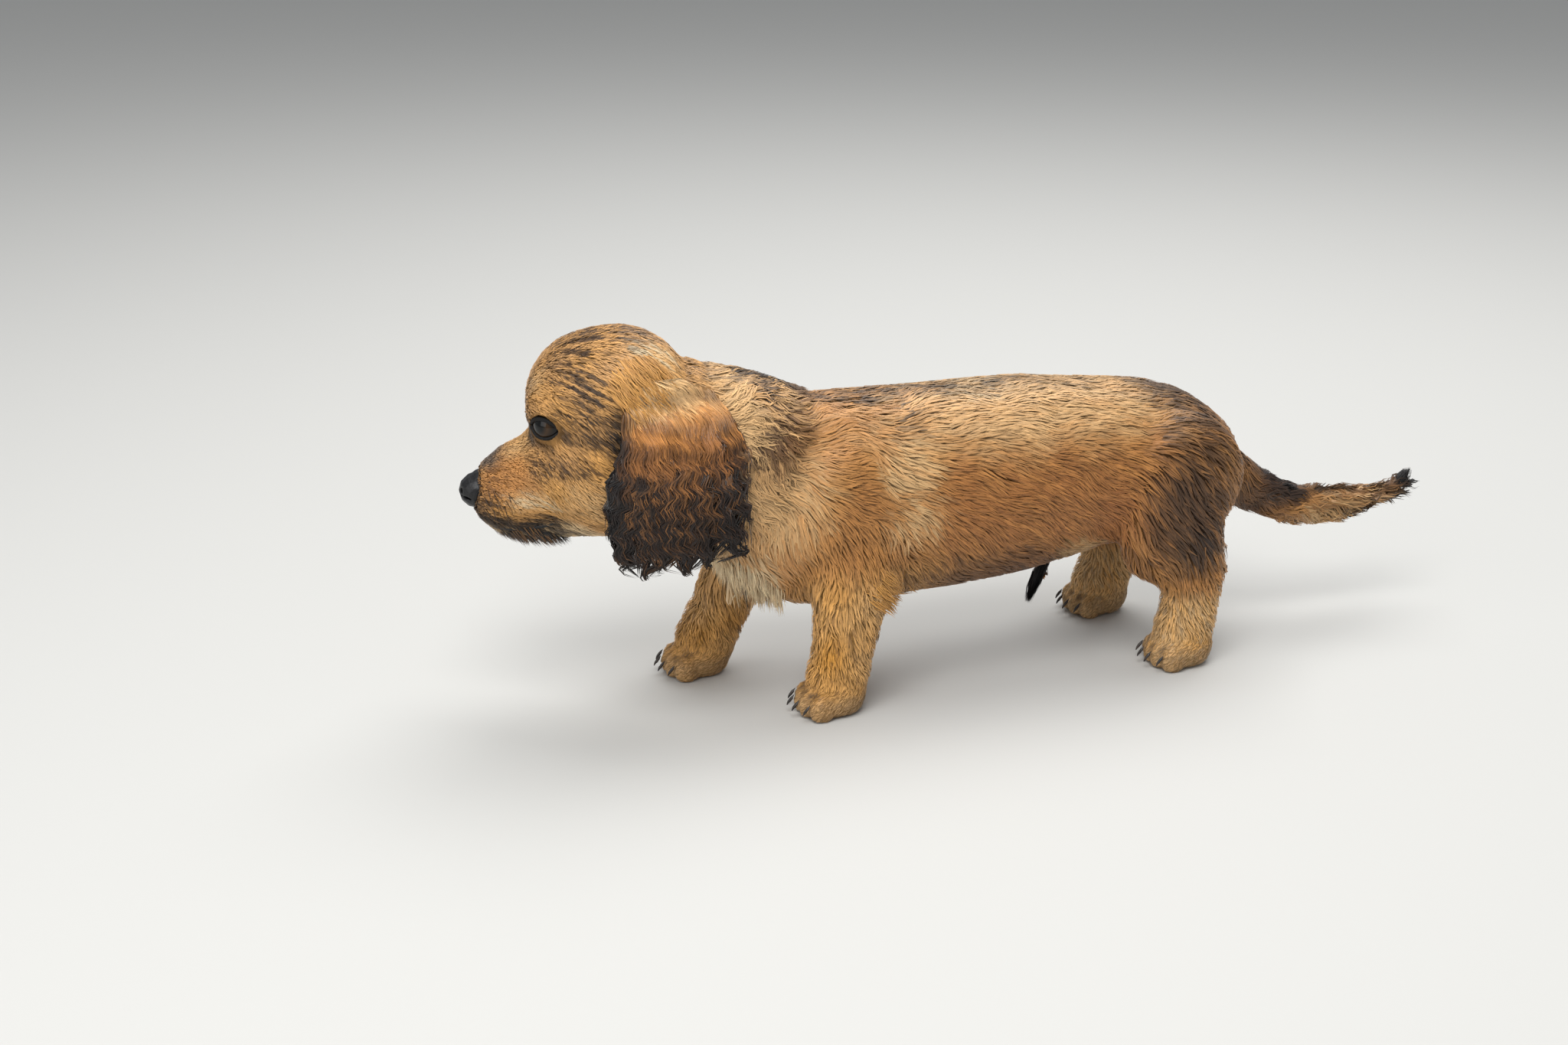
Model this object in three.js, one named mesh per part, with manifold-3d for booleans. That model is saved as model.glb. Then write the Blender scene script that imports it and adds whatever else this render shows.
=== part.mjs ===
// A long-haired dachshund puppy, standing, at life size, as a still museum model.
// Millimetres, +Z up. The dog faces -X, its left side is -Y and its right side is +Y.
// While it is modelled, x is 0 below the withers and z is 0 on the floor. The whole is centred at the end.
import * as THREE from "three";
import { mergeVertices } from "three/addons/utils/BufferGeometryUtils.js";
import Module from "manifold-3d";

const wasm = await Module();
wasm.setup();

// Driving sizes
const withersHeight = 152; // to the top of the coat
const rumpX = 240; // from the withers back to the buttocks
const chestX = -40; // from the withers forward to the breastbone's point
const trunkHalfWidth = 42;
const brisketZ = 45; // the lowest line of the chest
const headPlace = new THREE.Vector3(-84, 11, 142); // middle of the skull
const headTurn = THREE.MathUtils.degToRad(-16); // the head looks a little to the dog's right
const pawLength = 38;
const pawWidth = 31;
const tailTip = new THREE.Vector3(353, 0, 67);
const eyeRadius = 9;
const gap = 0.3; // between neighbouring pieces
const grown = 0.35; // how much fatter the cutting copy of the flesh is

const X = new THREE.Vector3(1, 0, 0);
const Z = new THREE.Vector3(0, 0, 1);
const sides = { left: -1, right: 1 };

// Small repeatable random numbers, for the locks
let seed = 7;
function random() {
  seed = (seed * 16807) % 2147483647;
  return seed / 2147483647;
}
const vary = (middle, share) => middle * (1 + share * (2 * random() - 1));

// Solids

function solidOf(geometry) {
  const bare = geometry.clone();
  bare.deleteAttribute("normal");
  bare.deleteAttribute("uv");
  const merged = mergeVertices(bare, 1e-4);
  const at = merged.attributes.position;
  const faces = new Uint32Array(merged.index.array);
  let volume = 0;
  const [a, b, c] = [new THREE.Vector3(), new THREE.Vector3(), new THREE.Vector3()];
  for (let i = 0; i < faces.length; i += 3) {
    a.fromBufferAttribute(at, faces[i]);
    b.fromBufferAttribute(at, faces[i + 1]);
    c.fromBufferAttribute(at, faces[i + 2]);
    volume += a.dot(b.cross(c));
  }
  if (volume < 0) {
    for (let i = 0; i < faces.length; i += 3) {
      [faces[i + 1], faces[i + 2]] = [faces[i + 2], faces[i + 1]];
    }
  }
  const mesh = new wasm.Mesh({
    numProp: 3,
    vertProperties: new Float32Array(at.array),
    triVerts: faces,
  });
  return new wasm.Manifold(mesh);
}

function geometryOf(solid) {
  const mesh = solid.getMesh();
  const made = new THREE.BufferGeometry();
  made.setAttribute("position", new THREE.BufferAttribute(new Float32Array(mesh.vertProperties), 3));
  made.setIndex(new THREE.BufferAttribute(new Uint32Array(mesh.triVerts), 1));
  return made;
}

const joined = (solids) => solids.reduce((whole, next) => whole.add(next));

function largest(solid) {
  const pieces = solid.decompose();
  return pieces.reduce((best, next) => (next.volume() > best.volume() ? next : best));
}

const inFrontOf = (solid, point, normal, off) =>
  solid.trimByPlane(normal.toArray(), normal.dot(point) + off);

function behind(solid, point, normal, off) {
  const back = normal.clone().negate();
  return solid.trimByPlane(back.toArray(), back.dot(point) + off);
}

// A closed form of rings along a line. Each station has its centre and its half sizes across,
// above and below.
function loft({ stations, around, along, caps, capRings = 3, up = Z, square = 2, grow = 0, shape = null }) {
  const line = new THREE.CatmullRomCurve3(stations.map((s) => new THREE.Vector3(...s.at)));
  const sizes = stations.map((s) => new THREE.Vector3(s.wide, s.above, s.below));
  const size = new THREE.CatmullRomCurve3(sizes);
  const rings = along + 2 * capRings;
  const geometry = new THREE.SphereGeometry(1, around, rings);
  const at = geometry.attributes.position;
  for (let ring = 0; ring <= rings; ring++) {
    const t = THREE.MathUtils.clamp((ring - capRings) / along, 0, 1);
    const along3 = line.getTangent(t);
    const above = up.clone().addScaledVector(along3, -up.dot(along3)).normalize();
    const across = new THREE.Vector3().crossVectors(above, along3);
    const centre = line.getPoint(t);
    const half = size.getPoint(t).addScalar(grow);
    let shrink = 1;
    if (ring < capRings) {
      const turn = ((ring / capRings) * Math.PI) / 2;
      shrink = Math.sin(turn);
      centre.addScaledVector(along3, -(caps[0] + grow) * Math.cos(turn));
    }
    if (ring > rings - capRings) {
      const turn = (((rings - ring) / capRings) * Math.PI) / 2;
      shrink = Math.sin(turn);
      centre.addScaledVector(along3, (caps[1] + grow) * Math.cos(turn));
    }
    for (let k = 0; k <= around; k++) {
      const angle = ((k % around) / around) * 2 * Math.PI;
      const c = Math.cos(angle);
      const s = Math.sin(angle);
      const power = 2 / square;
      const sideways = Math.sign(c) * Math.abs(c) ** power * half.x;
      const upward = Math.sign(s) * Math.abs(s) ** power * (s > 0 ? half.y : half.z);
      const p = centre.clone().addScaledVector(across, sideways * shrink);
      p.addScaledVector(above, upward * shrink);
      if (shape) shape(p, t, angle);
      at.setXYZ(ring * (around + 1) + k, p.x, p.y, p.z);
    }
  }
  return solidOf(geometry);
}

function egg(centre, radii, around = 12, rings = 8, turn = null) {
  const ball = new THREE.SphereGeometry(1, around, rings);
  ball.scale(...radii);
  if (turn) ball.applyQuaternion(turn);
  ball.translate(...centre);
  return solidOf(ball);
}

// A prism across the body, from an outline in x and z
function prism(outline, yFrom, yTo) {
  const depth = yTo - yFrom;
  const made = new THREE.ExtrudeGeometry(outline, { depth, bevelEnabled: false, curveSegments: 7 });
  made.rotateX(Math.PI / 2);
  made.translate(0, yTo, 0);
  return solidOf(made);
}

// The head is a smooth blend of egg shapes, in its own frame from the skull's middle: forward,
// to the right and up.
const headEggs = [
  { at: [-6, 0, 9], radii: [36, 33.5, 38], name: "skull" },
  { at: [13, 0, 14], radii: [24, 25, 27], name: "forehead" },
  { at: [24, 14, 13], radii: [11, 9.5, 8.5], name: "brow", pair: true },
  { at: [30, 0, -27], radii: [31, 17, 23.5], tilt: -8, name: "muzzle" },
  { at: [21, 12, -16], radii: [17, 10, 13], tilt: -20, name: "under the eye", pair: true },
  { at: [48, 0, -32], radii: [15.5, 12, 13.5], tilt: -18, name: "muzzle tip" },
  { at: [43, 9.5, -38], radii: [17, 7.5, 10], tilt: -4, name: "flew", pair: true },
  { at: [2, 17, -20], radii: [26, 15.5, 25], name: "cheek", pair: true },
  { at: [22, 0, -44], radii: [31, 12, 11.5], tilt: -2, name: "lower jaw" },
  { at: [-4, 0, -34], radii: [26, 22, 20], name: "throat" },
];
const headBlend = 10;

function headDistance(f, y, z) {
  let whole = 1e3;
  for (const one of headEggs) {
    const lean = THREE.MathUtils.degToRad(one.tilt ?? 0);
    const across = one.pair ? Math.abs(y) - one.at[1] : y;
    const [dx, dz] = [f - one.at[0], z - one.at[2]];
    const px = dx * Math.cos(lean) + dz * Math.sin(lean);
    const pz = dz * Math.cos(lean) - dx * Math.sin(lean);
    const [rx, ry, rz] = one.radii;
    const near = Math.hypot(px / rx, across / ry, pz / rz);
    const slope = Math.hypot(px / rx ** 2, across / ry ** 2, pz / rz ** 2);
    const d = slope > 1e-9 ? (near * (near - 1)) / slope : -Math.min(rx, ry, rz);
    const h = Math.max(headBlend - Math.abs(whole - d), 0) / headBlend;
    whole = Math.min(whole, d) - (h * h * headBlend) / 4;
  }
  return whole;
}

const headHeart = [8, 0, -10]; // rays go out from here
const headReach = 90;

function headForm(grow, around = 22, rings = 19) {
  const geometry = new THREE.SphereGeometry(1, around, rings);
  const at = geometry.attributes.position;
  const lean = Math.atan2(-20, 50); // the muzzle's direction from the heart
  for (let ring = 0; ring <= rings; ring++) {
    const polar = Math.PI * (ring / rings) ** 1.15;
    for (let k = 0; k <= around; k++) {
      const angle = ((k % around) / around) * 2 * Math.PI;
      const ahead = Math.cos(polar);
      const right = Math.sin(polar) * Math.cos(angle);
      const high = Math.sin(polar) * Math.sin(angle);
      const way = [
        ahead * Math.cos(lean) - high * Math.sin(lean),
        right,
        ahead * Math.sin(lean) + high * Math.cos(lean),
      ];
      const field = (t) =>
        headDistance(headHeart[0] + way[0] * t, way[1] * t, headHeart[2] + way[2] * t) - grow;
      let far = headReach;
      while (far > 0 && field(far) > 0) far -= 1.5;
      let [inside, outside] = [far, far + 1.5];
      for (let step = 0; step < 14; step++) {
        const middle = (inside + outside) / 2;
        if (field(middle) > 0) outside = middle;
        else inside = middle;
      }
      at.setXYZ(
        ring * (around + 1) + k,
        -(headHeart[0] + way[0] * inside),
        way[1] * inside,
        headHeart[2] + way[2] * inside,
      );
    }
  }
  return solidOf(geometry);
}

const headPose = new THREE.Matrix4().makeRotationZ(headTurn).setPosition(headPlace);
const placed = (solid, matrix) => solidOf(geometryOf(solid).applyMatrix4(matrix));

// The trunk: top and bottom lines and half width at each x
const trunkLines = [
  { x: chestX + 8, top: 126, bottom: 61, wide: 30 },
  { x: -14, top: 145, bottom: 50, wide: 38 },
  { x: 10, top: withersHeight, bottom: brisketZ, wide: 40.5 },
  { x: 40, top: withersHeight - 1, bottom: brisketZ - 1, wide: trunkHalfWidth },
  { x: 72, top: withersHeight - 2, bottom: brisketZ - 0.5, wide: trunkHalfWidth + 2 },
  { x: 104, top: withersHeight - 1, bottom: brisketZ + 1, wide: trunkHalfWidth + 2 },
  { x: 134, top: withersHeight - 3, bottom: brisketZ + 5, wide: trunkHalfWidth },
  { x: 160, top: withersHeight - 6, bottom: brisketZ + 12, wide: trunkHalfWidth - 2.5 },
  { x: 184, top: withersHeight - 9, bottom: brisketZ + 18, wide: trunkHalfWidth - 3.5 },
  { x: 206, top: withersHeight - 16, bottom: brisketZ + 22, wide: trunkHalfWidth - 6 },
  { x: 222, top: withersHeight - 27, bottom: brisketZ + 27, wide: trunkHalfWidth - 12 },
];

function trunk(grow) {
  const stations = trunkLines.map(({ x, top, bottom, wide }) => {
    const middle = bottom + (top - bottom) * 0.48;
    return { at: [x, 0, middle], wide, above: top - middle, below: middle - bottom };
  });
  const caps = [12, rumpX - 222];
  return loft({ stations, around: 18, along: 11, caps, capRings: 2, square: 2.15, grow });
}

function neckForm(grow) {
  const stations = [
    { at: [24, 0, 103], wide: 33, above: 40, below: 46 },
    { at: [-6, 0.5, 112], wide: 37, above: 44, below: 46 },
    { at: [-33, 3, 124], wide: 36.5, above: 43, below: 42 },
    { at: [-60, 7, 135], wide: 34, above: 40, below: 38 },
  ];
  return loft({ stations, around: 16, along: 5, caps: [8, 10], capRings: 2, grow });
}

const tailLine = [
  { at: [222, 0, 100], wide: 16, above: 16, below: 17 },
  { at: [240, 0, 88], wide: 13, above: 13.5, below: 15 },
  { at: [257, 0, 75], wide: 9.5, above: 10.5, below: 11 },
  { at: [275, 0, 66.5], wide: 8, above: 9.5, below: 9 },
  { at: [296, 0, 62.5], wide: 7, above: 8.5, below: 8 },
  { at: [318, 0, 63], wide: 5.5, above: 6, below: 6 },
  { at: [337, 0, 65.5], wide: 3.2, above: 3.4, below: 3.2 },
];

const tailForm = (grow) =>
  loft({ stations: tailLine, around: 10, along: 11, caps: [6, 8], capRings: 2, grow });

// Legs: each line runs from inside the trunk down to the paw. above is the back half, below the front half.
const legs = {
  front_left: {
    side: -1,
    paw: [13.5, -33],
    line: [
      { at: [24, -25, 98], wide: 15, above: 24, below: 26 },
      { at: [22, -30, 80], wide: 15.5, above: 23, below: 24 },
      { at: [21, -34, 61], wide: 15, above: 20, below: 19.5 },
      { at: [19, -35, 43], wide: 14, above: 16.5, below: 17 },
      { at: [17, -34, 27], wide: 13.5, above: 15.5, below: 15.5 },
      { at: [15, -33, 14], wide: 14.5, above: 16, below: 16 },
    ],
    outline: { middle: [20, 72], radius: 29 },
  },
  front_right: {
    side: 1,
    paw: [-34, 33],
    line: [
      { at: [10, 25, 98], wide: 15, above: 24, below: 26 },
      { at: [3, 30, 80], wide: 15.5, above: 23, below: 24 },
      { at: [-8, 34, 61], wide: 15, above: 20, below: 20 },
      { at: [-17, 35, 43], wide: 14, above: 16.5, below: 17 },
      { at: [-26, 34, 27], wide: 13.5, above: 16, below: 15.5 },
      { at: [-31, 33, 14], wide: 14.5, above: 16, below: 16 },
    ],
    outline: { middle: [-4, 72], radius: 30 },
  },
  hind_left: {
    side: -1,
    paw: [200, -35],
    line: [
      { at: [202, -22, 112], wide: 17, above: 27, below: 30 },
      { at: [200, -27, 92], wide: 17.5, above: 29, below: 38 },
      { at: [200, -31, 73], wide: 17, above: 21, below: 38 },
      { at: [203, -34, 58], wide: 15, above: 17, below: 35 },
      { at: [205, -35, 46], wide: 14, above: 16, below: 23 },
      { at: [204, -35, 33], wide: 13, above: 15.5, below: 15.5 },
      { at: [201, -35, 19], wide: 13.5, above: 16, below: 16 },
      { at: [200.5, -35, 12], wide: 14.5, above: 17, below: 16.5 },
    ],
    outline: { middle: [199, 82], radius: 41 },
  },
  hind_right: {
    side: 1,
    paw: [192, 42],
    line: [
      { at: [200, 22, 112], wide: 17, above: 27, below: 30 },
      { at: [197, 28, 92], wide: 17.5, above: 29, below: 38 },
      { at: [198, 33, 73], wide: 17, above: 24, below: 40 },
      { at: [200, 38, 58], wide: 15, above: 18, below: 38 },
      { at: [201, 40, 46], wide: 14, above: 16.5, below: 26 },
      { at: [199, 41.5, 33], wide: 13, above: 15.5, below: 16 },
      { at: [194, 42, 19], wide: 13.5, above: 16, below: 16 },
      { at: [192.5, 42, 12], wide: 14.5, above: 17, below: 16.5 },
    ],
    outline: { middle: [196, 82], radius: 41 },
  },
};

// The shoulder and the haunch swell out of the trunk
const swells = {
  front_left: { at: [17, -29, 98], radii: [31, 15.5, 37] },
  front_right: { at: [9, 29, 98], radii: [31, 15.5, 37] },
  hind_left: { at: [196, -26, 96], radii: [38, 18.5, 37] },
  hind_right: { at: [193, 26, 96], radii: [38, 18.5, 37] },
};

// Four toes in an arc, the middle two ahead of the outer two
const toes = [-1.5, -0.5, 0.5, 1.5].map((step) => ({
  across: (step * pawWidth) / 4.3,
  ahead: pawLength * (Math.abs(step) > 1 ? 0.27 : 0.35),
}));
const toeRadii = [pawLength * 0.2, pawWidth * 0.155, 7.6];

function pawForm([x, y], grow) {
  const fat = (radii) => radii.map((r) => r + grow);
  const pad = egg([x + 1, y, 9], fat([pawLength * 0.44, pawWidth * 0.48, 12]), 10, 6);
  const toeForms = toes.map(({ across, ahead }) =>
    egg([x - ahead + 1, y + across, 6.4], fat(toeRadii), 7, 5),
  );
  return joined([pad, ...toeForms]);
}

function legForm(leg, grow) {
  const size = { around: 10, along: 9, caps: [8, 8], capRings: 2, square: 2.2 };
  const column = loft({ stations: leg.line, up: X, grow, ...size });
  const whole = joined([column, pawForm(leg.paw, grow)]);
  return whole.trimByPlane([0, 0, 1], grow ? -1 : 0); // flat soles on the floor
}

function flesh(grow) {
  const head = placed(headForm(grow), headPose);
  const forms = [trunk(grow), neckForm(grow), head, tailForm(grow)];
  for (const leg of Object.values(legs)) forms.push(legForm(leg, grow));
  for (const { at, radii } of Object.values(swells)) {
    forms.push(egg(at, radii.map((r) => r + grow), 12, 8));
  }
  return joined(forms);
}

const wholeFlesh = flesh(0);
const fatFlesh = flesh(grown);

// The places of the thin cuts
const headCut = {
  point: new THREE.Vector3(-55, 8, 122),
  normal: new THREE.Vector3(-0.93, 0.13, 0.3).normalize(),
};
const neckCut = {
  point: new THREE.Vector3(-20, 0, 118),
  normal: new THREE.Vector3(-0.863, 0, 0.505).normalize(),
};
const tailCut = {
  point: new THREE.Vector3(243, 0, 86),
  normal: new THREE.Vector3(0.8, 0, -0.6).normalize(),
};
const legInnerY = 13;
const farSide = 80;

function legOutline({ middle, radius }, grow) {
  const r = radius + grow;
  const outline = new THREE.Shape();
  outline.moveTo(middle[0] + r, -10);
  outline.lineTo(middle[0] + r, middle[1]);
  outline.absarc(middle[0], middle[1], r, 0, Math.PI, false);
  outline.lineTo(middle[0] - r, -10);
  outline.closePath();
  return outline;
}

// A foreleg that reaches forward leaves the outline's straight side, so its prism widens below the chest.
function legBlock(leg, grow) {
  const [from, to] = [legInnerY - grow, farSide];
  const block = (outline) =>
    leg.side < 0 ? prism(outline, -to, -from) : prism(outline, from, to);
  const foot = new THREE.Shape();
  const [front, back] = [leg.paw[0] - pawLength * 0.75, leg.outline.middle[0] + leg.outline.radius];
  foot.moveTo(front - grow, -10);
  foot.lineTo(back + grow, -10);
  foot.lineTo(back + grow, brisketZ - 8);
  foot.lineTo(front - grow, brisketZ - 8);
  foot.closePath();
  return block(legOutline(leg.outline, grow)).add(block(foot));
}

let rest = wholeFlesh;
const solids = {};
for (const [name, leg] of Object.entries(legs)) {
  solids[`leg_${name}`] = largest(wholeFlesh.intersect(legBlock(leg, 0)));
  rest = rest.subtract(legBlock(leg, gap));
}
solids.tail = largest(inFrontOf(rest, tailCut.point, tailCut.normal, 0));
rest = behind(rest, tailCut.point, tailCut.normal, gap);
const forward = inFrontOf(rest, neckCut.point, neckCut.normal, 0);
solids.torso = largest(behind(rest, neckCut.point, neckCut.normal, gap));
const wholeHead = largest(inFrontOf(forward, headCut.point, headCut.normal, 0));
solids.neck = largest(behind(forward, headCut.point, headCut.normal, gap));

// Head details, in the head's own frame, where x is minus forward
const toHead = headPose.clone().invert();
const headFrame = (solid) => placed(solid, toHead);
const worldFrame = (solid) => placed(solid, headPose);

const eyePlace = { forward: 23.3, out: 15, up: 4.2 };
const gazeOut = 0.84; // how far the eyes look sideways, as a part of one
const lidThick = 1.5;
const opening = { long: 16.4, high: 12.8 };

function eyeFrame(side) {
  const centre = new THREE.Vector3(-eyePlace.forward, side * eyePlace.out, eyePlace.up);
  const gaze = new THREE.Vector3(-Math.sqrt(1 - gazeOut ** 2), side * gazeOut, 0.06).normalize();
  const rise = new THREE.Vector3(0.12, 0, 1).addScaledVector(gaze, -gaze.z).normalize();
  const along = new THREE.Vector3().crossVectors(rise, gaze).normalize();
  rise.crossVectors(gaze, along);
  return new THREE.Matrix4().makeBasis(along, rise, gaze).setPosition(centre);
}

function almond() {
  const { long, high } = opening;
  const outline = new THREE.Shape();
  outline.moveTo(-long / 2, -high * 0.06);
  outline.bezierCurveTo(-long * 0.28, high * 0.62, long * 0.28, high * 0.66, long / 2, -high * 0.02);
  outline.bezierCurveTo(long * 0.28, -high * 0.56, -long * 0.26, -high * 0.56, -long / 2, -high * 0.06);
  return new THREE.ExtrudeGeometry(outline, { depth: 20, bevelEnabled: false, curveSegments: 5 });
}

let head = headFrame(wholeHead);
for (const side of Object.values(sides)) {
  const frame = eyeFrame(side);
  const lids = placed(egg([0, 0, 0], Array(3).fill(eyeRadius + gap + lidThick), 14, 8), frame);
  const socket = placed(egg([0, 0, 0], Array(3).fill(eyeRadius + gap), 14, 8), frame);
  const slit = solidOf(almond().applyMatrix4(frame));
  head = head.add(lids).subtract(socket).subtract(slit);
}
head = largest(head);

// The mouth: a line in forward and up, from under the nose to the corner, then down to the throat
const mouthLine = [
  [72, -44],
  [60, -44.5],
  [50, -46.5],
  [38, -47.5],
  [27, -45],
  [19, -40.5],
];
const jawBack = [
  [11, -46],
  [1, -66],
];

function jawRegion(lift) {
  const outline = new THREE.Shape();
  const line = [...mouthLine, ...jawBack].map(([f, z]) => new THREE.Vector2(-f, z + lift));
  outline.setFromPoints([...line, new THREE.Vector2(-1, -90), new THREE.Vector2(-72, -90)]);
  return prism(outline, -farSide, farSide);
}

// Where a ray from the heart in the given direction leaves the head's form
function headSurface(f, y, z) {
  const heart = new THREE.Vector3(...headHeart);
  const way = new THREE.Vector3(f, y, z).sub(heart).normalize();
  let [inside, outside] = [5, headReach];
  for (let step = 0; step < 24; step++) {
    const middle = (inside + outside) / 2;
    const p = heart.clone().addScaledVector(way, middle);
    if (headDistance(p.x, p.y, p.z) > 0) outside = middle;
    else inside = middle;
  }
  return heart.addScaledVector(way, inside);
}

// A shallow groove along the lips, cut by a thin bent tube
function lipGroove(side) {
  const points = mouthLine.slice(1).map(([f, z], i) => {
    const p = headSurface(f, side * (5 + 4 * i), z);
    return new THREE.Vector3(-p.x, p.y, z);
  });
  points.unshift(new THREE.Vector3(-headSurface(64, 0, -44).x - 1, -side * 1.5, -44));
  const section = new THREE.Shape();
  section.absellipse(0, 0, 1.3, 0.9, 0, 2 * Math.PI);
  const path = new THREE.CatmullRomCurve3(points);
  const tube = new THREE.ExtrudeGeometry(section, { steps: 14, extrudePath: path, curveSegments: 3 });
  return solidOf(tube);
}

const grooves = joined(Object.values(sides).map(lipGroove));
const jawPart = head.intersect(jawRegion(0)).subtract(grooves);
const upperPart = head.subtract(jawRegion(gap + 0.1)).subtract(grooves);
solids.jaw = worldFrame(largest(jawPart));

// Nose leather: a rounded pad with two comma nostrils and a parting groove, set in a socket in the muzzle
const noseEggs = [
  { at: [-60.5, 0, -31.8], radii: [8.8, 9.3, 8.6] },
  { at: [-57.5, 0, -27.5], radii: [7.5, 7.4, 6] },
];

function noseForm(grow) {
  const forms = noseEggs.map(({ at, radii }) => egg(at, radii.map((r) => r + grow), 12, 8));
  return joined(forms);
}

function nostril(side) {
  const hole = egg([0, 0, 0], [5, 1.7, 2.1], 7, 4);
  const turn = new THREE.Matrix4().makeRotationZ(side * -0.5).setPosition(-67.7, side * 4.1, -31.4);
  const slit = egg([0, 0, 0], [3.4, 4, 0.9], 6, 4);
  const slitTurn = new THREE.Matrix4().makeRotationX(side * -0.35).setPosition(-65, side * 7.4, -33.8);
  return placed(hole, turn).add(placed(slit, slitTurn));
}

let nose = noseForm(0);
for (const side of Object.values(sides)) nose = nose.subtract(nostril(side));
nose = nose.subtract(egg([-69.8, 0, -37.5], [2.6, 0.7, 5], 6, 4));
solids.nose = worldFrame(largest(nose));
const headCore = largest(upperPart.subtract(noseForm(gap)));

for (const [name, side] of Object.entries(sides)) {
  const ball = egg([0, 0, 0], Array(3).fill(eyeRadius), 14, 8);
  solids[`eye_${name}`] = worldFrame(placed(ball, eyeFrame(side)));
}

// Ears: a broad hanging leaf of leather, in forward and up, that lies outside the cheek and the neck
const earLine = [
  { f: -16, z: 20, half: 13 },
  { f: -24, z: 12, half: 23.5 },
  { f: -32, z: 0, half: 30 },
  { f: -34, z: -15, half: 31.5 },
  { f: -29, z: -30, half: 27.5 },
  { f: -24, z: -42, half: 19 },
];
const earThick = 3.4;
const earRest = 37; // how far out from the head's middle an ear hangs
const earFurthest = 43; // where it lies on the neck and the shoulder

const fleshMesh = new THREE.Mesh(geometryOf(headFrame(wholeFlesh)));
fleshMesh.material.side = THREE.DoubleSide;
const ray = new THREE.Raycaster();

// How far out the flesh reaches at a place seen from the side, in the head's frame
function fleshOut(side, f, z) {
  ray.set(new THREE.Vector3(-f, side * 150, z), new THREE.Vector3(0, -side, 0));
  const hits = ray.intersectObject(fleshMesh);
  return hits.length ? Math.max(0, hits[0].point.y * side) : 0;
}

// The ear's inner face. It leaves the skull at the root and hangs clear of cheek and neck.
function earInner(side, f, z) {
  const drop = THREE.MathUtils.smoothstep(24 - z, 0, 18);
  const behindFold = Math.max(0, -30 - f) * THREE.MathUtils.smoothstep(z, -25, 5);
  const hang = THREE.MathUtils.lerp(25, earRest, drop) - 0.0035 * (f + 31) ** 2 * drop - 0.7 * behindFold;
  let flesh = 0;
  for (const [df, dz] of [[0, 0], [5, 0], [-5, 0], [0, 5], [0, -5]]) {
    flesh = Math.max(flesh, fleshOut(side, f + df, z + dz));
  }
  const clear = Math.min(flesh + 1.2, earFurthest);
  return Math.max(hang, THREE.MathUtils.lerp(flesh - 1.9, clear, THREE.MathUtils.smoothstep(drop, 0.1, 0.6)));
}

function earLeather(side) {
  const stations = earLine.map(({ f, z, half }) => ({ at: [-f, 0, z], wide: half, above: 1, below: 1 }));
  const flat = new THREE.Vector3(0, 1, 0);
  const lay = (p) => {
    const q = Math.abs(p.y) > 1 ? Math.sign(p.y) : p.y; // -1 on the inner face, 1 on the outer
    const inner = earInner(side, -p.x, p.z);
    p.y = side * (inner + (earThick * (1 + q)) / 2);
  };
  return loft({ stations, around: 12, along: 7, caps: [4, 9], capRings: 2, up: flat, shape: lay });
}

const lockRings = 4;

// A flat lock that tapers to a point. points are its middle line, out is the way its face looks.
function lock(points, wide, thick, out) {
  const line = new THREE.CatmullRomCurve3(points);
  const [around, rings] = [4, lockRings];
  const geometry = new THREE.SphereGeometry(1, around, rings);
  const at = geometry.attributes.position;
  for (let ring = 0; ring <= rings; ring++) {
    const t = ring / rings;
    const full = t < 0.3 ? 0.55 + 1.5 * t : 1 - ((t - 0.3) / 0.7) ** 1.7;
    const size = ring === 0 || ring === rings ? 0 : full;
    const centre = line.getPoint(t);
    const along3 = line.getTangent(t);
    const across = new THREE.Vector3().crossVectors(out, along3).normalize();
    const face = new THREE.Vector3().crossVectors(along3, across);
    for (let k = 0; k <= around; k++) {
      const angle = ((k % around) / around) * 2 * Math.PI;
      const p = centre.clone().addScaledVector(across, (Math.cos(angle) * size * wide) / 2);
      p.addScaledVector(face, (Math.sin(angle) * size * thick) / 2);
      at.setXYZ(ring * (around + 1) + k, p.x, p.y, p.z);
    }
  }
  return solidOf(geometry);
}

// Rows of wavy locks that flow down and back over the ear and past its edge
const earRows = [
  { z: 9, from: -5, to: -53, count: 4, long: 30 },
  { z: -6, from: -1, to: -60, count: 5, long: 31 },
  { z: -21, from: -1, to: -57, count: 5, long: 31 },
  { z: -35, from: -2, to: -45, count: 5, long: 24 },
];
const earLockWide = 12.5;
const earLockThick = 3;

function earLocks(side) {
  const made = [];
  for (const row of earRows) {
    for (let i = 0; i < row.count; i++) {
      const share = (i + 0.5) / row.count;
      const rear = THREE.MathUtils.lerp(row.from, row.to, share) + (random() - 0.5) * 3;
      const swing = 0.03 + 0.42 * share ** 1.4; // locks at the back of the ear stream backwards
      const long = vary(row.long, 0.12);
      const phase = random() * 0.8 + i;
      const points = [0, 0.2, 0.4, 0.6, 0.8, 1].map((t) => {
        const down = long * t;
        const wave = 1.5 * Math.sin(phase + t * 7) * Math.min(1, 2 * t);
        const f = rear - down * Math.sin(swing) * (0.4 + 0.6 * t) + wave;
        const z = row.z - down * Math.cos(swing);
        const lift = earThick + [-1.7, 0, 0.8, 1.1, 1, 0.7][Math.round(t * 5)];
        return new THREE.Vector3(-f, side * (earInner(side, f, z) + lift), z);
      });
      made.push(lock(points, vary(earLockWide, 0.15), earLockThick, new THREE.Vector3(0, side, 0)));
    }
  }
  return made;
}

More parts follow.
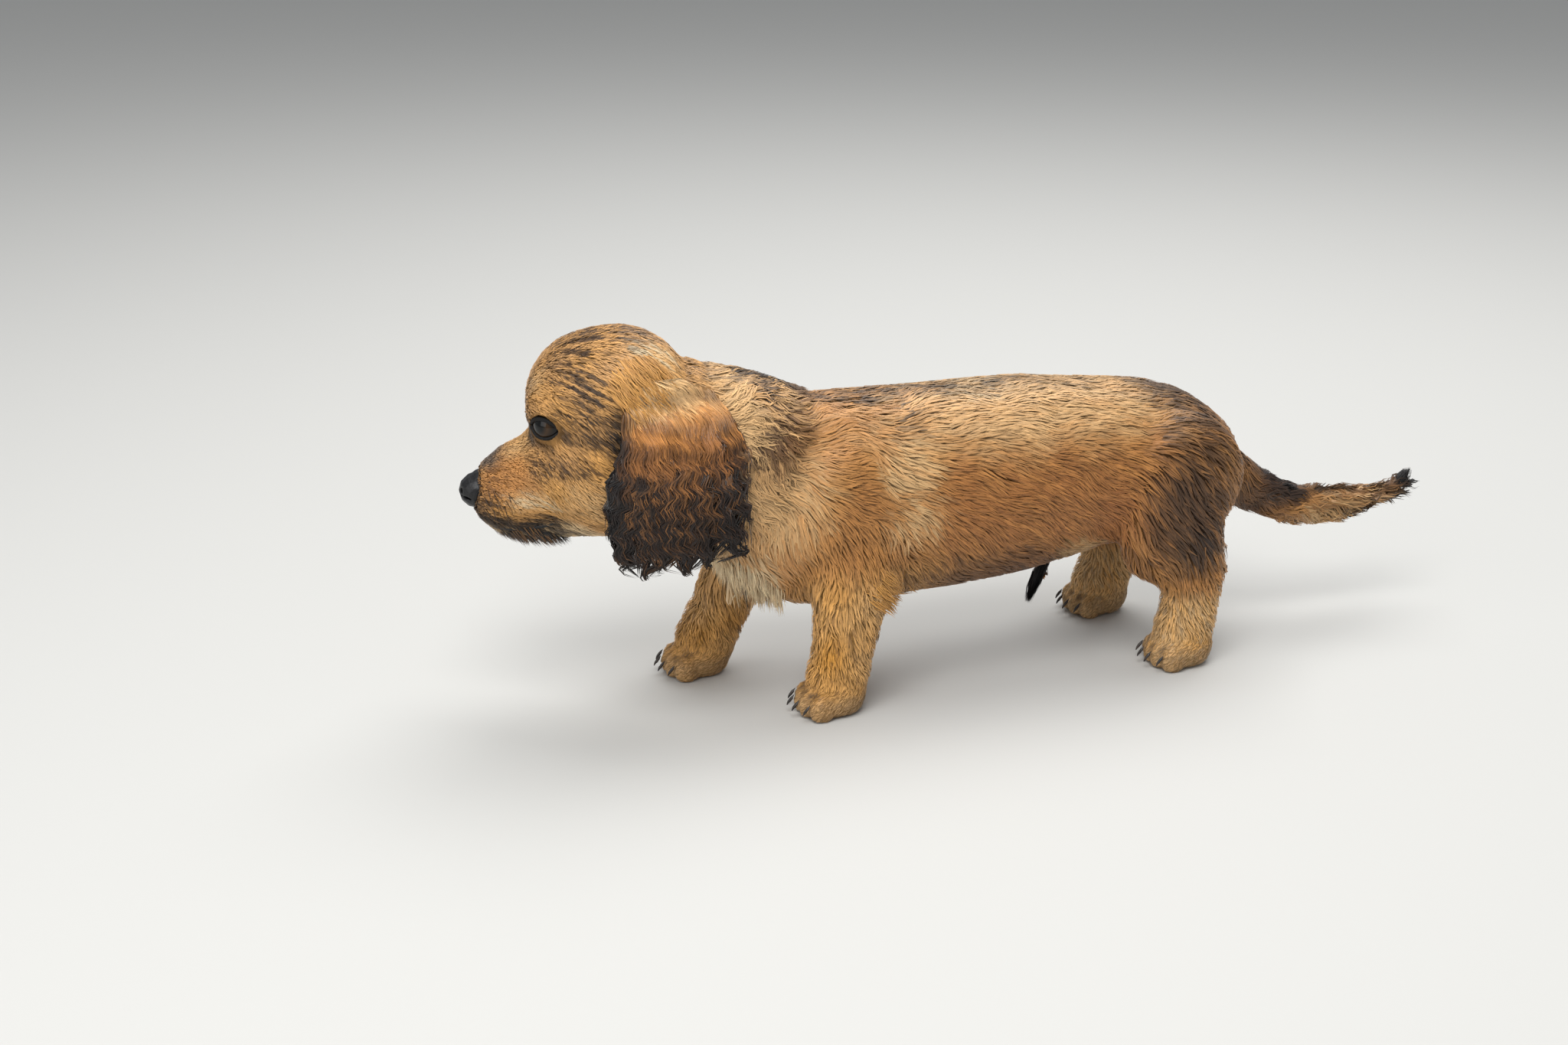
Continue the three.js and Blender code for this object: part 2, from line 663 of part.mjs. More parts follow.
const fatFleshInHead = headFrame(fatFlesh);
for (const [name, side] of Object.entries(sides)) {
  const leather = earLeather(side).subtract(fatFleshInHead);
  const whole = joined([leather, ...earLocks(side)]).subtract(fatFleshInHead);
  solids[`ear_${name}`] = worldFrame(largest(whole));
}
solids.head = worldFrame(headCore);

// Locks on the flesh: a ray finds the surface, and the lock follows it along its lie
const bodyMesh = new THREE.Mesh(geometryOf(wholeFlesh));
bodyMesh.material.side = THREE.DoubleSide;

function surfaceFrom(place, inward) {
  ray.set(place.clone().addScaledVector(inward, -60), inward);
  const hits = ray.intersectObject(bodyMesh);
  return hits.length ? hits[0].point : null;
}

// A tuft lock: its root sinks into the flesh at place, then it leans away along lie, with its tip free
function tuftLock(place, inward, lie, long, wide, thick, free) {
  const root = surfaceFrom(place, inward) ?? place;
  const out = inward.clone().negate();
  const points = [0, 0.25, 0.5, 0.75, 1].map((t, i) => {
    const p = root.clone().addScaledVector(lie, long * t);
    p.addScaledVector(out, [-2.5, 0.4, 1.1, 1.2, 0.8][i] + free * t * t);
    return p;
  });
  return lock(points, wide, thick, out);
}

// The chest tuft: pale locks between the forelegs that point down and forward
const chestLocks = [];
for (let i = 0; i < 7; i++) {
  const share = i / 6 - 0.5;
  const place = new THREE.Vector3(-30 + 9 * Math.abs(share) + 12 * (i % 2), share * 24, 66 - 8 * (i % 2));
  const inward = new THREE.Vector3(0.75, 0, 0.66);
  const lie = new THREE.Vector3(0.35 * (random() - 0.2), 0.25 * share, -0.95).normalize();
  chestLocks.push(tuftLock(place, inward, lie, vary(16, 0.15), 8.5, 3, -2));
}

// The sheath: a dark tuft in the middle of the belly, drawn to one wavy point
const sheathLocks = [egg([141, 0, 47], [12, 5.5, 8], 12, 8)];
for (let i = 0; i < 5; i++) {
  const turn = (i / 5) * 2 * Math.PI;
  const root = new THREE.Vector3(142 + 4 * Math.cos(turn), 2.6 * Math.sin(turn), 43);
  const tip = new THREE.Vector3(134 + 1.5 * Math.cos(turn), 0.8 * Math.sin(turn), 25 + 2.5 * (i % 3));
  const bow = new THREE.Vector3(2, 0, 0);
  const points = [0, 0.33, 0.66, 1].map((t) => root.clone().lerp(tip, t).addScaledVector(bow, t * (1 - t)));
  sheathLocks.push(lock(points, 4.6, 3, new THREE.Vector3(0, 1, 0.01).applyAxisAngle(Z, turn)));
}
let trunkCoat = joined([...chestLocks, ...sheathLocks]);
for (const leg of Object.values(legs)) trunkCoat = trunkCoat.subtract(legBlock(leg, gap));
solids.torso = largest(solids.torso.add(trunkCoat));

// The tail's coat: locks all round that lie towards the tip and hide the core
const tailCurve = new THREE.CatmullRomCurve3(tailLine.map((s) => new THREE.Vector3(...s.at)));
const tailSize = new THREE.CatmullRomCurve3(tailLine.map((s) => new THREE.Vector3(s.wide, s.above, s.below)));
const tailLocks = [];
const tailRows = 5;
for (let row = 0; row < tailRows; row++) {
  const t0 = 0.27 + (row / tailRows) * 0.66;
  const count = row < 3 ? 5 : 4;
  for (let i = 0; i < count; i++) {
    const turn = ((i + (row % 2) / 2) / count) * 2 * Math.PI + 0.3;
    const long = 0.2;
    const points = [0, 0.25, 0.5, 0.75, 1].map((t, step) => {
      const s = Math.min(1, t0 + long * t);
      const centre = tailCurve.getPoint(s);
      const half = tailSize.getPoint(s);
      const beyond = Math.max(0, t0 + long * t - 1) * 110;
      const raise = [-1.6, 0.2, 0.9, 1.1, 0.9][step];
      const shrink = 1 - 0.65 * Math.min(1, beyond / 14);
      const above = Math.sin(turn);
      centre.x += beyond;
      centre.y += Math.cos(turn) * (half.x + raise) * shrink;
      centre.z += above * ((above > 0 ? half.y : half.z) + raise) * shrink;
      return centre;
    });
    const out = new THREE.Vector3(0, Math.cos(turn), Math.sin(turn));
    tailLocks.push(lock(points, row < 4 ? 9 : 6, 3, out));
  }
}
// The tip is one drawn-out wisp
const wisp = [tailCurve.getPoint(0.9), tailCurve.getPoint(1), new THREE.Vector3(346, 0, 66.5), tailTip];
tailLocks.push(lock(wisp, 5, 4, new THREE.Vector3(0, 0.3, 1)));
solids.tail = largest(joined([solids.tail, ...tailLocks]));

// Feathers at the back of each foreleg and behind each thigh
function feathers(leg, fromZ, toZ, count, long) {
  const made = [];
  for (let i = 0; i < count; i++) {
    const z = THREE.MathUtils.lerp(fromZ, toZ, i / (count - 1));
    const centre = leg.line.reduce((a, b) => (Math.abs(b.at[2] - z) < Math.abs(a.at[2] - z) ? b : a));
    const y = centre.at[1] + ((i % 3) - 1) * 4.5;
    const place = new THREE.Vector3(centre.at[0] + centre.above, y, z);
    const lie = new THREE.Vector3(0.28, 0, -0.96);
    made.push(tuftLock(place, X.clone().negate(), lie, vary(long, 0.15), 7.5, 3, 1));
  }
  return made;
}
for (const name of ["front_left", "front_right"]) {
  const tuft = joined(feathers(legs[name], 52, 36, 6, 13)).intersect(legBlock(legs[name], 0));
  solids[`leg_${name}`] = largest(solids[`leg_${name}`].add(tuft));
}
for (const name of ["hind_left", "hind_right"]) {
  const tuft = joined(feathers(legs[name], 68, 46, 6, 14)).intersect(legBlock(legs[name], 0));
  solids[`leg_${name}`] = largest(solids[`leg_${name}`].add(tuft));
}

// Claws: short dark hooks, one on each toe, clear of the floor
for (const [name, leg] of Object.entries(legs)) {
  toes.forEach(({ across, ahead }, i) => {
    const tipX = leg.paw[0] - ahead - toeRadii[0] + 1;
    const y = leg.paw[1] + across;
    const points = [
      new THREE.Vector3(tipX + 4, y, 8.6),
      new THREE.Vector3(tipX + 1, y, 8.2),
      new THREE.Vector3(tipX - 1.6, y, 6),
      new THREE.Vector3(tipX - 2.6, y, 3),
    ];
    const claw = lock(points, 2.4, 2.8, new THREE.Vector3(-0.5, 0, 1));
    solids[`claw_${name}_${i + 1}`] = largest(claw.subtract(fatFlesh));
  });
}

// Colours of the coat and the bare parts
const finish = {
  tan: new THREE.MeshStandardMaterial({ color: 0xb88a57, roughness: 0.85 }),
  sable: new THREE.MeshStandardMaterial({ color: 0x7d5a38, roughness: 0.85 }),
  gold: new THREE.MeshStandardMaterial({ color: 0xc79a62, roughness: 0.85 }),
  dark: new THREE.MeshStandardMaterial({ color: 0x3a291e, roughness: 0.8 }),
  leather: new THREE.MeshStandardMaterial({ color: 0x17151a, roughness: 0.35 }),
  eye: new THREE.MeshStandardMaterial({ color: 0x1c120c, roughness: 0.05 }),
  claw: new THREE.MeshStandardMaterial({ color: 0x2a2321, roughness: 0.4 }),
};

function finishOf(name) {
  if (name.startsWith("claw")) return finish.claw;
  if (name.startsWith("eye")) return finish.eye;
  if (name.startsWith("ear") || name === "tail") return finish.dark;
  if (name.startsWith("leg")) return finish.gold;
  if (name === "nose") return finish.leather;
  return name === "torso" ? finish.sable : finish.tan;
}

// The head, its jaw, nose, eyes and ears hang in one turned group. The rest stands in the body's own frame.
const dog = new THREE.Group();
const headGroup = new THREE.Group();
headGroup.position.copy(headPlace);
headGroup.rotation.z = headTurn;
dog.add(headGroup);
const onHead = new Set(["head", "jaw", "nose", "eye_left", "eye_right", "ear_left", "ear_right"]);
for (const [name, solid] of Object.entries(solids)) {
  const geometry = geometryOf(solid);
  if (onHead.has(name)) geometry.applyMatrix4(toHead);
  const mesh = new THREE.Mesh(geometry, finishOf(name));
  mesh.name = name;
  (onHead.has(name) ? headGroup : dog).add(mesh);
}

// The origin is the middle of the model's box, on the floor
const box = new THREE.Box3().setFromObject(dog, true);
dog.position.set(-(box.min.x + box.max.x) / 2, -(box.min.y + box.max.y) / 2, -box.min.z);

export default dog;
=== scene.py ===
import math
import bpy
import numpy as np
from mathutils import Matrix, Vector
from mathutils.bvhtree import BVHTree
from mathutils.kdtree import KDTree


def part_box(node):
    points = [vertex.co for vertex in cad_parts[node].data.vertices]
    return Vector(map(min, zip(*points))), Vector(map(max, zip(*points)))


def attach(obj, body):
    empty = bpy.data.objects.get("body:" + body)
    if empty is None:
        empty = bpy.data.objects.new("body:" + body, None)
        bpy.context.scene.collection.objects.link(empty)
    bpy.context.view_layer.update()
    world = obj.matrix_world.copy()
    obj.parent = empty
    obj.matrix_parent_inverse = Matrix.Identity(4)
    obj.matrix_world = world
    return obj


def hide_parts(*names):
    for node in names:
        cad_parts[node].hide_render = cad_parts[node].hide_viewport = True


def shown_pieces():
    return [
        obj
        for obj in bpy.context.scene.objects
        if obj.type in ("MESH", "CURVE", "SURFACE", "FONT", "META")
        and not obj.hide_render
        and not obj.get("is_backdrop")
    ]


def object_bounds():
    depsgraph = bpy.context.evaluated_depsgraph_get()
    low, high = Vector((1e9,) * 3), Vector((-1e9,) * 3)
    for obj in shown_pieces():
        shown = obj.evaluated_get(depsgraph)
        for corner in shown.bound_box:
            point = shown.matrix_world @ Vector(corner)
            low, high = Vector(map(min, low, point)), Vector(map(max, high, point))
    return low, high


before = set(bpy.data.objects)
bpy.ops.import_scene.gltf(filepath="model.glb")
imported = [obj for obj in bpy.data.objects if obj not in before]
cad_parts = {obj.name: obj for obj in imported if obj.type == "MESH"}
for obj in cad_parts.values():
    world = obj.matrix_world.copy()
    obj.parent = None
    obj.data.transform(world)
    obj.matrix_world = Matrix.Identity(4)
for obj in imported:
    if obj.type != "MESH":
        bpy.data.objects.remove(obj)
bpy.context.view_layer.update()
draw = np.random.default_rng(11)
coatShare = 1.0


# small helpers

def say(stage):
    print("[dachshund]", stage)


def hexColor(code):
    parts = [int(code[i:i + 2], 16) / 255 for i in (1, 3, 5)]
    return np.array([p / 12.92 if p <= 0.04045 else ((p + 0.055) / 1.055) ** 2.4 for p in parts])


def unit(v):
    v = np.asarray(v, float)
    return v / np.maximum(np.linalg.norm(v, axis=-1, keepdims=True), 1e-12)


def ramp(x, low, high):
    t = np.clip((x - low) / (high - low), 0, 1)
    return t * t * (3 - 2 * t)


def mix(a, b, t):
    return a + (b - a) * t


def waves(points, size, seed, count=7):
    # smooth noise about -1 to 1, a sum of sines; size is the length of one swell in the points' unit
    turn = np.random.default_rng(seed)
    total = np.zeros(len(points))
    for i in range(count):
        way = unit(turn.normal(size=3)) * (2 * math.pi / size) * turn.uniform(0.6, 1.5)
        total += np.sin(points @ way + turn.uniform(0, 6.28))
    return total / (1.2 * math.sqrt(count))


def deselectAll():
    bpy.ops.object.select_all(action="DESELECT")


def makeActive(piece):
    deselectAll()
    piece.select_set(True)
    bpy.context.view_layer.objects.active = piece


def applyModifier(piece, kind, **settings):
    makeActive(piece)
    modifier = piece.modifiers.new(kind.title(), kind)
    for key, value in settings.items():
        setattr(modifier, key, value)
    bpy.ops.object.modifier_apply(modifier=modifier.name)


def copyOfNodes(name, nodes):
    deselectAll()
    for node in nodes:
        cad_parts[node].select_set(True)
    bpy.context.view_layer.objects.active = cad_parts[nodes[0]]
    bpy.ops.object.duplicate()
    if len(nodes) > 1:
        bpy.ops.object.join()
    piece = bpy.context.view_layer.objects.active
    piece.parent = None
    for key in list(piece.keys()):
        del piece[key]
    piece.name = piece.data.name = name
    piece.data.materials.clear()
    bpy.ops.object.mode_set(mode="EDIT")
    bpy.ops.mesh.select_all(action="SELECT")
    bpy.ops.mesh.remove_doubles(threshold=0.000001)
    bpy.ops.object.mode_set(mode="OBJECT")
    return piece


def readRows(items, what, wide, kind=np.float32):
    out = np.zeros(len(items) * wide, kind)
    items.foreach_get(what, out)
    return out.reshape(-1, wide)


def readPoints(mesh, what="co"):
    return readRows(mesh.vertices, what, 3).astype(float)


def writePoints(mesh, points):
    mesh.vertices.foreach_set("co", np.asarray(points, np.float32).ravel())
    mesh.update()


def readTriangles(mesh):
    mesh.calc_loop_triangles()
    return readRows(mesh.loop_triangles, "vertices", 3, np.int32)


def readEdges(mesh):
    return readRows(mesh.edges, "vertices", 2, np.int32)


def nearCount(edges, count):
    return np.maximum(np.bincount(edges.ravel(), minlength=count), 1)


def nearSum(column, edges):
    # each vertex gets the sum of its neighbours' values
    total = np.bincount(edges[:, 0], column[edges[:, 1]], len(column))
    return total + np.bincount(edges[:, 1], column[edges[:, 0]], len(column))


def spread(values, edges, rounds):
    # evens per-vertex values out along the edges
    near = nearCount(edges, len(values))
    flat = values.reshape(len(values), -1).copy()
    for _ in range(rounds):
        for c in range(flat.shape[1]):
            flat[:, c] = 0.5 * flat[:, c] + 0.5 * nearSum(flat[:, c], edges) / near
    return flat.reshape(values.shape)


def addFloat(mesh, name, values, kind="FLOAT"):
    layer = mesh.attributes.new(name, kind, "POINT")
    key = {"FLOAT": "value", "FLOAT_VECTOR": "vector", "FLOAT_COLOR": "color"}[kind]
    layer.data.foreach_set(key, np.asarray(values, np.float32).ravel())


def addPaint(mesh, color):
    addFloat(mesh, "coatColor", np.concatenate([color, np.ones((len(color), 1))], axis=1), "FLOAT_COLOR")


def finishPiece(piece, material, nodes=()):
    piece.data.materials.clear()
    piece.data.materials.append(material)
    piece.data.shade_smooth()
    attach(piece, "root")
    if nodes:
        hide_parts(*nodes)


# places: the head's own frame comes from the two eyes, the trunk's from the left one

def middleOf(node):
    low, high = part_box(node)
    return (np.array(low) + np.array(high)) / 2


eyeMiddle = {"left": middleOf("eye_left"), "right": middleOf("eye_right")}
headRight = unit(eyeMiddle["right"] - eyeMiddle["left"])
headUp = np.array([0.0, 0.0, 1.0])
headForward = -np.cross(headRight, headUp)
headPlace = (eyeMiddle["left"] + eyeMiddle["right"]) / 2 - headForward * 0.0233 - headUp * 0.0042
trunkPlace = eyeMiddle["left"] - np.array([-0.11053, 0.0030, 0.1462])


def inHead(points):
    # millimetres forward, to the right and up from the head's middle
    away = (points - headPlace) * 1000
    return np.stack([away @ headForward, away @ headRight, away @ headUp], axis=-1)


def fromHead(forward, right, up):
    return headPlace + (headForward * forward + headRight * right + headUp * up) / 1000


def inTrunk(points):
    # millimetres back from the withers, to the right of the spine and above the floor
    return (points - trunkPlace) * 1000


# the coat's colours and markings, with some painted highlight and shade among them, shared by the skin and
# the tufts

hair = {
    "gold": "#b27c42", "tan": "#d6ae7a", "cream": "#ead2a8", "white": "#e9dcc4",
    "red": "#985f2f", "brown": "#5f3f25", "umber": "#463222", "dark": "#2b211b",
    "black": "#151110", "grey": "#5b5048", "legGold": "#d2994f", "orange": "#bb7d40",
    "earOrange": "#8c5b30", "chocolate": "#22150e", "bronze": "#86592e",
}
hair = {name: hexColor(code) for name, code in hair.items()}

# each marking: middle (back, outward or None, height) and reach in mm, its hair, strength, streakiness
trunkMarks = [
    # painted highlight: the tan band and the two cream patches make the upper side lighter, as where light
    # falls on the top
    ((118, None, 140), (92, 1, 20), "tan", 0.70, 0.30),
    ((88, None, 152), (22, 1, 8), "cream", 0.45, 0.50),
    ((150, None, 152), (30, 1, 8), "cream", 0.40, 0.50),
    ((112, None, 98), (80, 1, 26), "red", 0.60, 0.30),
    # painted shade: the belly is painted dark brown, the underside away from the light
    ((98, None, 62), (80, 1, 15), "brown", 0.85, 0.30),
    ((52, 0, 156), (62, 17, 13), "dark", 1.00, 0.50),
    ((135, 0, 158), (80, 17, 15), "dark", 1.00, 0.50),
    ((32, 18, 158), (15, 22, 13), "dark", 0.85, 0.80),
    ((48, 32, 143), (14, 16, 11), "dark", 0.70, 0.85),
    ((80, 18, 157), (26, 16, 7), "umber", 0.50, 0.90),
    ((116, 18, 159), (26, 16, 7), "umber", 0.50, 0.90),
    ((196, 8, 146), (30, 34, 22), "umber", 0.80, 0.50),
    ((200, None, 112), (24, 1, 34), "umber", 0.70, 0.40),
    ((190, None, 84), (22, 1, 28), "umber", 0.90, 0.30),
    ((200, None, 68), (14, 1, 14), "dark", 0.60, 0.50),
    ((155, None, 84), (14, 1, 20), "red", 0.75, 0.40),
    ((44, None, 120), (15, 1, 13), "tan", 0.80, 0.50),
    ((48, None, 97), (14, 1, 12), "tan", 0.55, 0.60),
    ((139, None, 68), (13, 1, 9), "tan", 0.60, 0.50),
    ((-14, None, 112), (20, 1, 22), "tan", 0.65, 0.50),
    ((-24, 0, 78), (18, 28, 28), "cream", 0.85, 0.50),
    ((230, 0, 96), (18, 26, 26), "dark", 0.70, 0.40),
    ((226, None, 60), (12, 1, 14), "tan", 0.50, 0.40),
]
neckMarks = [
    ((-22, None, 164), (15, 1, 12), "dark", 0.80, 0.90),
    ((2, None, 156), (16, 1, 13), "dark", 0.80, 0.85),
    ((-16, None, 138), (16, 1, 13), "umber", 0.75, 0.90),
    ((-8, None, 118), (9, 1, 12), "umber", 0.50, 0.95),
    ((-40, None, 148), (14, 1, 12), "tan", 0.60, 0.40),
    ((-34, None, 120), (14, 1, 16), "tan", 0.60, 0.50),
    ((-45, 0, 98), (26, 26, 20), "cream", 0.80, 0.40),
]
tailMarks = [
    ((275, None, 60), (54, 1, 12), "gold", 0.85, 0.50),
    ((305, None, 58), (40, 1, 10), "tan", 0.55, 0.70),
    ((244, 0, 94), (26, 16, 16), "black", 0.95, 0.35),
    ((272, 0, 82), (26, 16, 10), "black", 0.95, 0.45),
    ((302, 0, 76), (28, 16, 8), "dark", 0.90, 0.60),
    ((328, 0, 76), (18, 16, 8), "umber", 0.80, 0.60),
    ((356, 0, 70), (22, 14, 16), "black", 0.95, 0.30),
]
# the same in the head's frame: middle (forward, outward, up)
headMarks = [
    ((47, 13, -22), (17, 11, 12), "orange", 0.75, 0.20),
    ((40, 6, -6), (14, 7, 9), "tan", 0.50, 0.30),
    ((56, 0, -16), (11, 9, 7), "grey", 0.90, 0.30),
    ((53, 11, -26), (8, 8, 9), "bronze", 0.55, 0.60),
    ((57, 9, -36), (9, 9, 7), "umber", 0.70, 0.50),
    ((31, 16, -31), (18, 9, 5), "cream", 0.42, 0.60),
    ((6, 24, -26), (16, 12, 12), "tan", 0.60, 0.40),
    ((52, 9, -42), (22, 14, 4), "black", 0.90, 0.30),
    ((34, 10, -47), (20, 16, 6), "dark", 0.85, 0.50),
    ((30, 6, -56), (18, 14, 7), "dark", 0.80, 0.50),
    ((28, 18, -41), (9, 8, 4), "black", 0.80, 0.40),
    ((35, 9, 0), (6, 6, 8), "dark", 0.80, 0.40),
    ((26, 16, 4), (11, 9, 9), "dark", 0.75, 0.30),
    ((24, 17, -5), (9, 8, 4), "umber", 0.55, 0.50),
    ((29, 19, -14), (9, 8, 7), "umber", 0.50, 0.75),
    ((14, 24, -12), (15, 9, 7), "umber", 0.65, 0.75),
    ((14, 21, 3), (14, 9, 5), "dark", 0.85, 0.45),
    ((2, 25, 5), (11, 9, 9), "dark", 0.85, 0.55),
    ((7, 22, 18), (13, 12, 14), "dark", 0.72, 0.75),
    ((17, 21, 9), (11, 9, 7), "dark", 0.62, 0.60),
    ((-4, 28, 2), (6, 9, 17), "black", 0.90, 0.50),
    ((18, 16, 30), (12, 14, 12), "umber", 0.40, 0.85),
    ((29, 11, 21), (8, 6, 7), "tan", 0.55, 0.50),
    ((27, 17, 14), (6, 4, 3), "umber", 0.60, 0.60),
    ((14, 0, 40), (14, 20, 10), "umber", 0.52, 0.85),
    ((-6, 0, 46), (20, 24, 12), "umber", 0.50, 0.85),
    ((-22, 14, 36), (16, 12, 8), "cream", 0.40, 0.70),
    ((-50, 0, 32), (18, 24, 14), "umber", 0.55, 0.90),
    ((-34, 26, 26), (20, 14, 8), "tan", 0.60, 0.50),
]
earMarks = [
    ((-36, None, 2), (26, 1, 13), "earOrange", 0.80, 0.70),
    ((-32, None, 14), (28, 1, 11), "orange", 0.80, 0.50),
    ((-30, None, 26), (34, 1, 12), "tan", 0.80, 0.50),
    ((-64, None, 27), (24, 1, 16), "gold", 1.00, 0.20),
    ((-3, None, -8), (7, 1, 34), "black", 0.90, 0.40),
    ((-70, None, -6), (8, 1, 18), "tan", 0.70, 0.70),
    ((-66, None, 8), (10, 1, 10), "orange", 0.60, 0.60),
    ((-34, None, -20), (26, 1, 14), "bronze", 0.34, 1.00),
    ((-22, None, -42), (24, 1, 12), "bronze", 0.22, 1.00),
]


def layMarks(color, place, marks, streakDraw, seed):
    for i, (middle, reach, name, strength, streak) in enumerate(marks):
        away = np.zeros(len(place))
        for axis in range(3):
            if middle[axis] is not None:
                value = np.abs(place[:, axis]) if axis == 1 else place[:, axis]
                away += ((value - middle[axis]) / reach[axis]) ** 2
        away = np.sqrt(away) + 0.12 * waves(place, 9, seed + i)
        cover = ramp(away, 1.45, 0.35) * strength
        broken = ramp(cover + (streakDraw - 0.5) * 0.9, 0.12, 0.88) * ramp(away, 1.6, 0.8)
        color = mix(color, hair[name], mix(cover, broken, streak)[:, None])
    return color


def streaksAlong(points, lie, size, seed):
    # fine streaks that follow the coat: noise evened out along the lie, spread over 0 to 1
    reach = size * 4
    steps = np.arange(-reach, reach, size * 0.4)
    total = sum(waves(points * 1000 + lie * step, size, seed, 18) for step in steps)
    total = (total - total.mean()) / (total.std() + 1e-9)
    return 1 / (1 + np.exp(-1.7 * total))


def coatColor(points, share, streakDraw):
    # share: how far each point belongs to head, jaw, neck, torso, tail, fore and hind legs
    head, trunk = inHead(points), inTrunk(points)
    high = trunk[:, 2]
    plain = np.zeros_like(points)
    sway = (0.5 + 0.5 * waves(points * 1000, 26, 5))[:, None]
    face = mix(mix(hair["gold"], hair["tan"], 0.35), hair["legGold"], sway * 0.7)
    face = layMarks(face, head, headMarks, streakDraw, 100)
    dots = ramp(waves(head, 3.2, 31, 16), 0.85, 1.25) * ramp(head[:, 0], 42, 48) * ramp(head[:, 2], -16, -24)
    face = mix(face, hair["dark"], 0.8 * dots[:, None])
    jaw = layMarks(plain + mix(hair["tan"], hair["cream"], 0.5), head, headMarks, streakDraw, 100)
    neck = mix(hair["gold"], hair["tan"], 0.5 + 0.4 * sway)
    neck = layMarks(neck, trunk, neckMarks, streakDraw, 140)
    torso = layMarks(mix(hair["gold"], hair["red"], 0.3 * sway), trunk, trunkMarks, streakDraw, 180)
    tail = layMarks(plain + hair["brown"], trunk, tailMarks, streakDraw, 220)
    legs = mix(hair["legGold"], hair["tan"], 0.5 * sway)
    legs = mix(legs, hair["brown"], (ramp(streakDraw, 0.72, 0.95) * 0.45)[:, None])
    low = ramp(high, 52, 34)[:, None]
    hind = mix(torso, mix(legs, hair["cream"], 0.05 + 0.3 * streakDraw[:, None]), low)
    toes = ramp(high, 15, 8)[:, None] * 0.6
    toeHair = mix(hair["tan"], hair["grey"], 0.45)
    hind = mix(hind, toeHair, toes)
    fore = mix(mix(legs, toeHair, toes), torso, ramp(high, 62, 86)[:, None])
    parts = np.stack([face, jaw, neck, torso, tail, fore, hind], axis=1)
    return (parts * share[:, :, None]).sum(1)


# materials

def addNode(tree, kind, settings=(), links=()):
    node = tree.nodes.new("ShaderNode" + kind)
    for key, value in dict(settings).items():
        if isinstance(key, str) and hasattr(node, key):
            setattr(node, key, value)
        else:
            node.inputs[key].default_value = value
    for socket, source in dict(links).items():
        tree.links.new(source, node.inputs[socket])
    return node


def newMaterial(name):
    material = bpy.data.materials.new(name)
    material.use_nodes = True
    tree = material.node_tree
    tree.nodes.clear()
    shader = addNode(tree, "BsdfPrincipled")
    addNode(tree, "OutputMaterial", links={"Surface": shader.outputs["BSDF"]})
    return material, tree, shader


def setInputs(node, values):
    for key, value in values.items():
        node.inputs[key].default_value = value


def shade(code):
    return (*hexColor(code), 1)


def multiply(tree, first, second):
    if isinstance(second, float):
        return addNode(tree, "Math", {"operation": "MULTIPLY", 1: second}, {0: first})
    return addNode(tree, "Math", {"operation": "MULTIPLY"}, {0: first, 1: second})


def noise(tree, place, scale, detail, rough=0.5):
    return addNode(tree, "TexNoise", {"Scale": scale, "Detail": detail, "Roughness": rough},
                   {"Vector": place})


def spanOf(tree, source, fromLow, fromHigh, toLow, toHigh):
    return addNode(tree, "MapRange", {1: fromLow, 2: fromHigh, 3: toLow, 4: toHigh}, {0: source})


def colorSteps(tree, source, stops):
    node = addNode(tree, "ValToRGB", links={0: source})
    steps = node.color_ramp.elements
    for step, (position, code) in zip(list(steps), (stops[0], stops[-1])):
        step.color = shade(code)
        step.position = position
    for position, code in stops[1:-1]:
        steps.new(position).color = shade(code)
    return node.outputs[0]


def dress(tree, shader, color, height=None, strength=0.0, distance=0.0, invert=False):
    # gives the shader its colour and its relief
    tree.links.new(color, shader.inputs["Base Color"])
    if height is not None:
        bump = addNode(tree, "Bump", {"Strength": strength, "Distance": distance, "invert": invert},
                       {"Height": height})
        tree.links.new(bump.outputs[0], shader.inputs["Normal"])


def dogHair(name, gloss, strand):
    # long soft dog hair: satin, each tuft broken into finer strands along its length
    material, tree, shader = newMaterial(name)
    paint = addNode(tree, "Attribute", {"attribute_name": "coatColor"})
    lie = addNode(tree, "Attribute", {"attribute_name": "hairPlace"})
    split = addNode(tree, "SeparateXYZ", links={0: lie.outputs["Vector"]})
    across = multiply(tree, split.outputs[0], strand)
    own = addNode(tree, "Math", {"operation": "MULTIPLY_ADD", 1: 37.0},
                  {0: split.outputs[2], 2: across.outputs[0]})
    slow = multiply(tree, split.outputs[1], 0.8)
    place = addNode(tree, "CombineXYZ", links={0: own.outputs[0], 1: slow.outputs[0]})
    grain = noise(tree, place.outputs[0], 1.0, 2.0, 0.6)
    tone = spanOf(tree, grain.outputs["Fac"], 0.3, 0.7, 0.62, 1.35)
    tip = spanOf(tree, split.outputs[1], 0.0, 1.0, 0.84, 1.12)
    both = multiply(tree, tone.outputs[0], tip.outputs[0])
    color = addNode(tree, "VectorMath", {"operation": "SCALE"},
                    {0: paint.outputs["Color"], "Scale": both.outputs[0]})
    dress(tree, shader, color.outputs[0], grain.outputs["Fac"], 0.2, 0.0002)
    setInputs(shader, {"Roughness": gloss, "IOR": 1.55, "Specular IOR Level": 0.35, "Sheen Weight": 0.15,
                       "Sheen Roughness": 0.4})
    return material


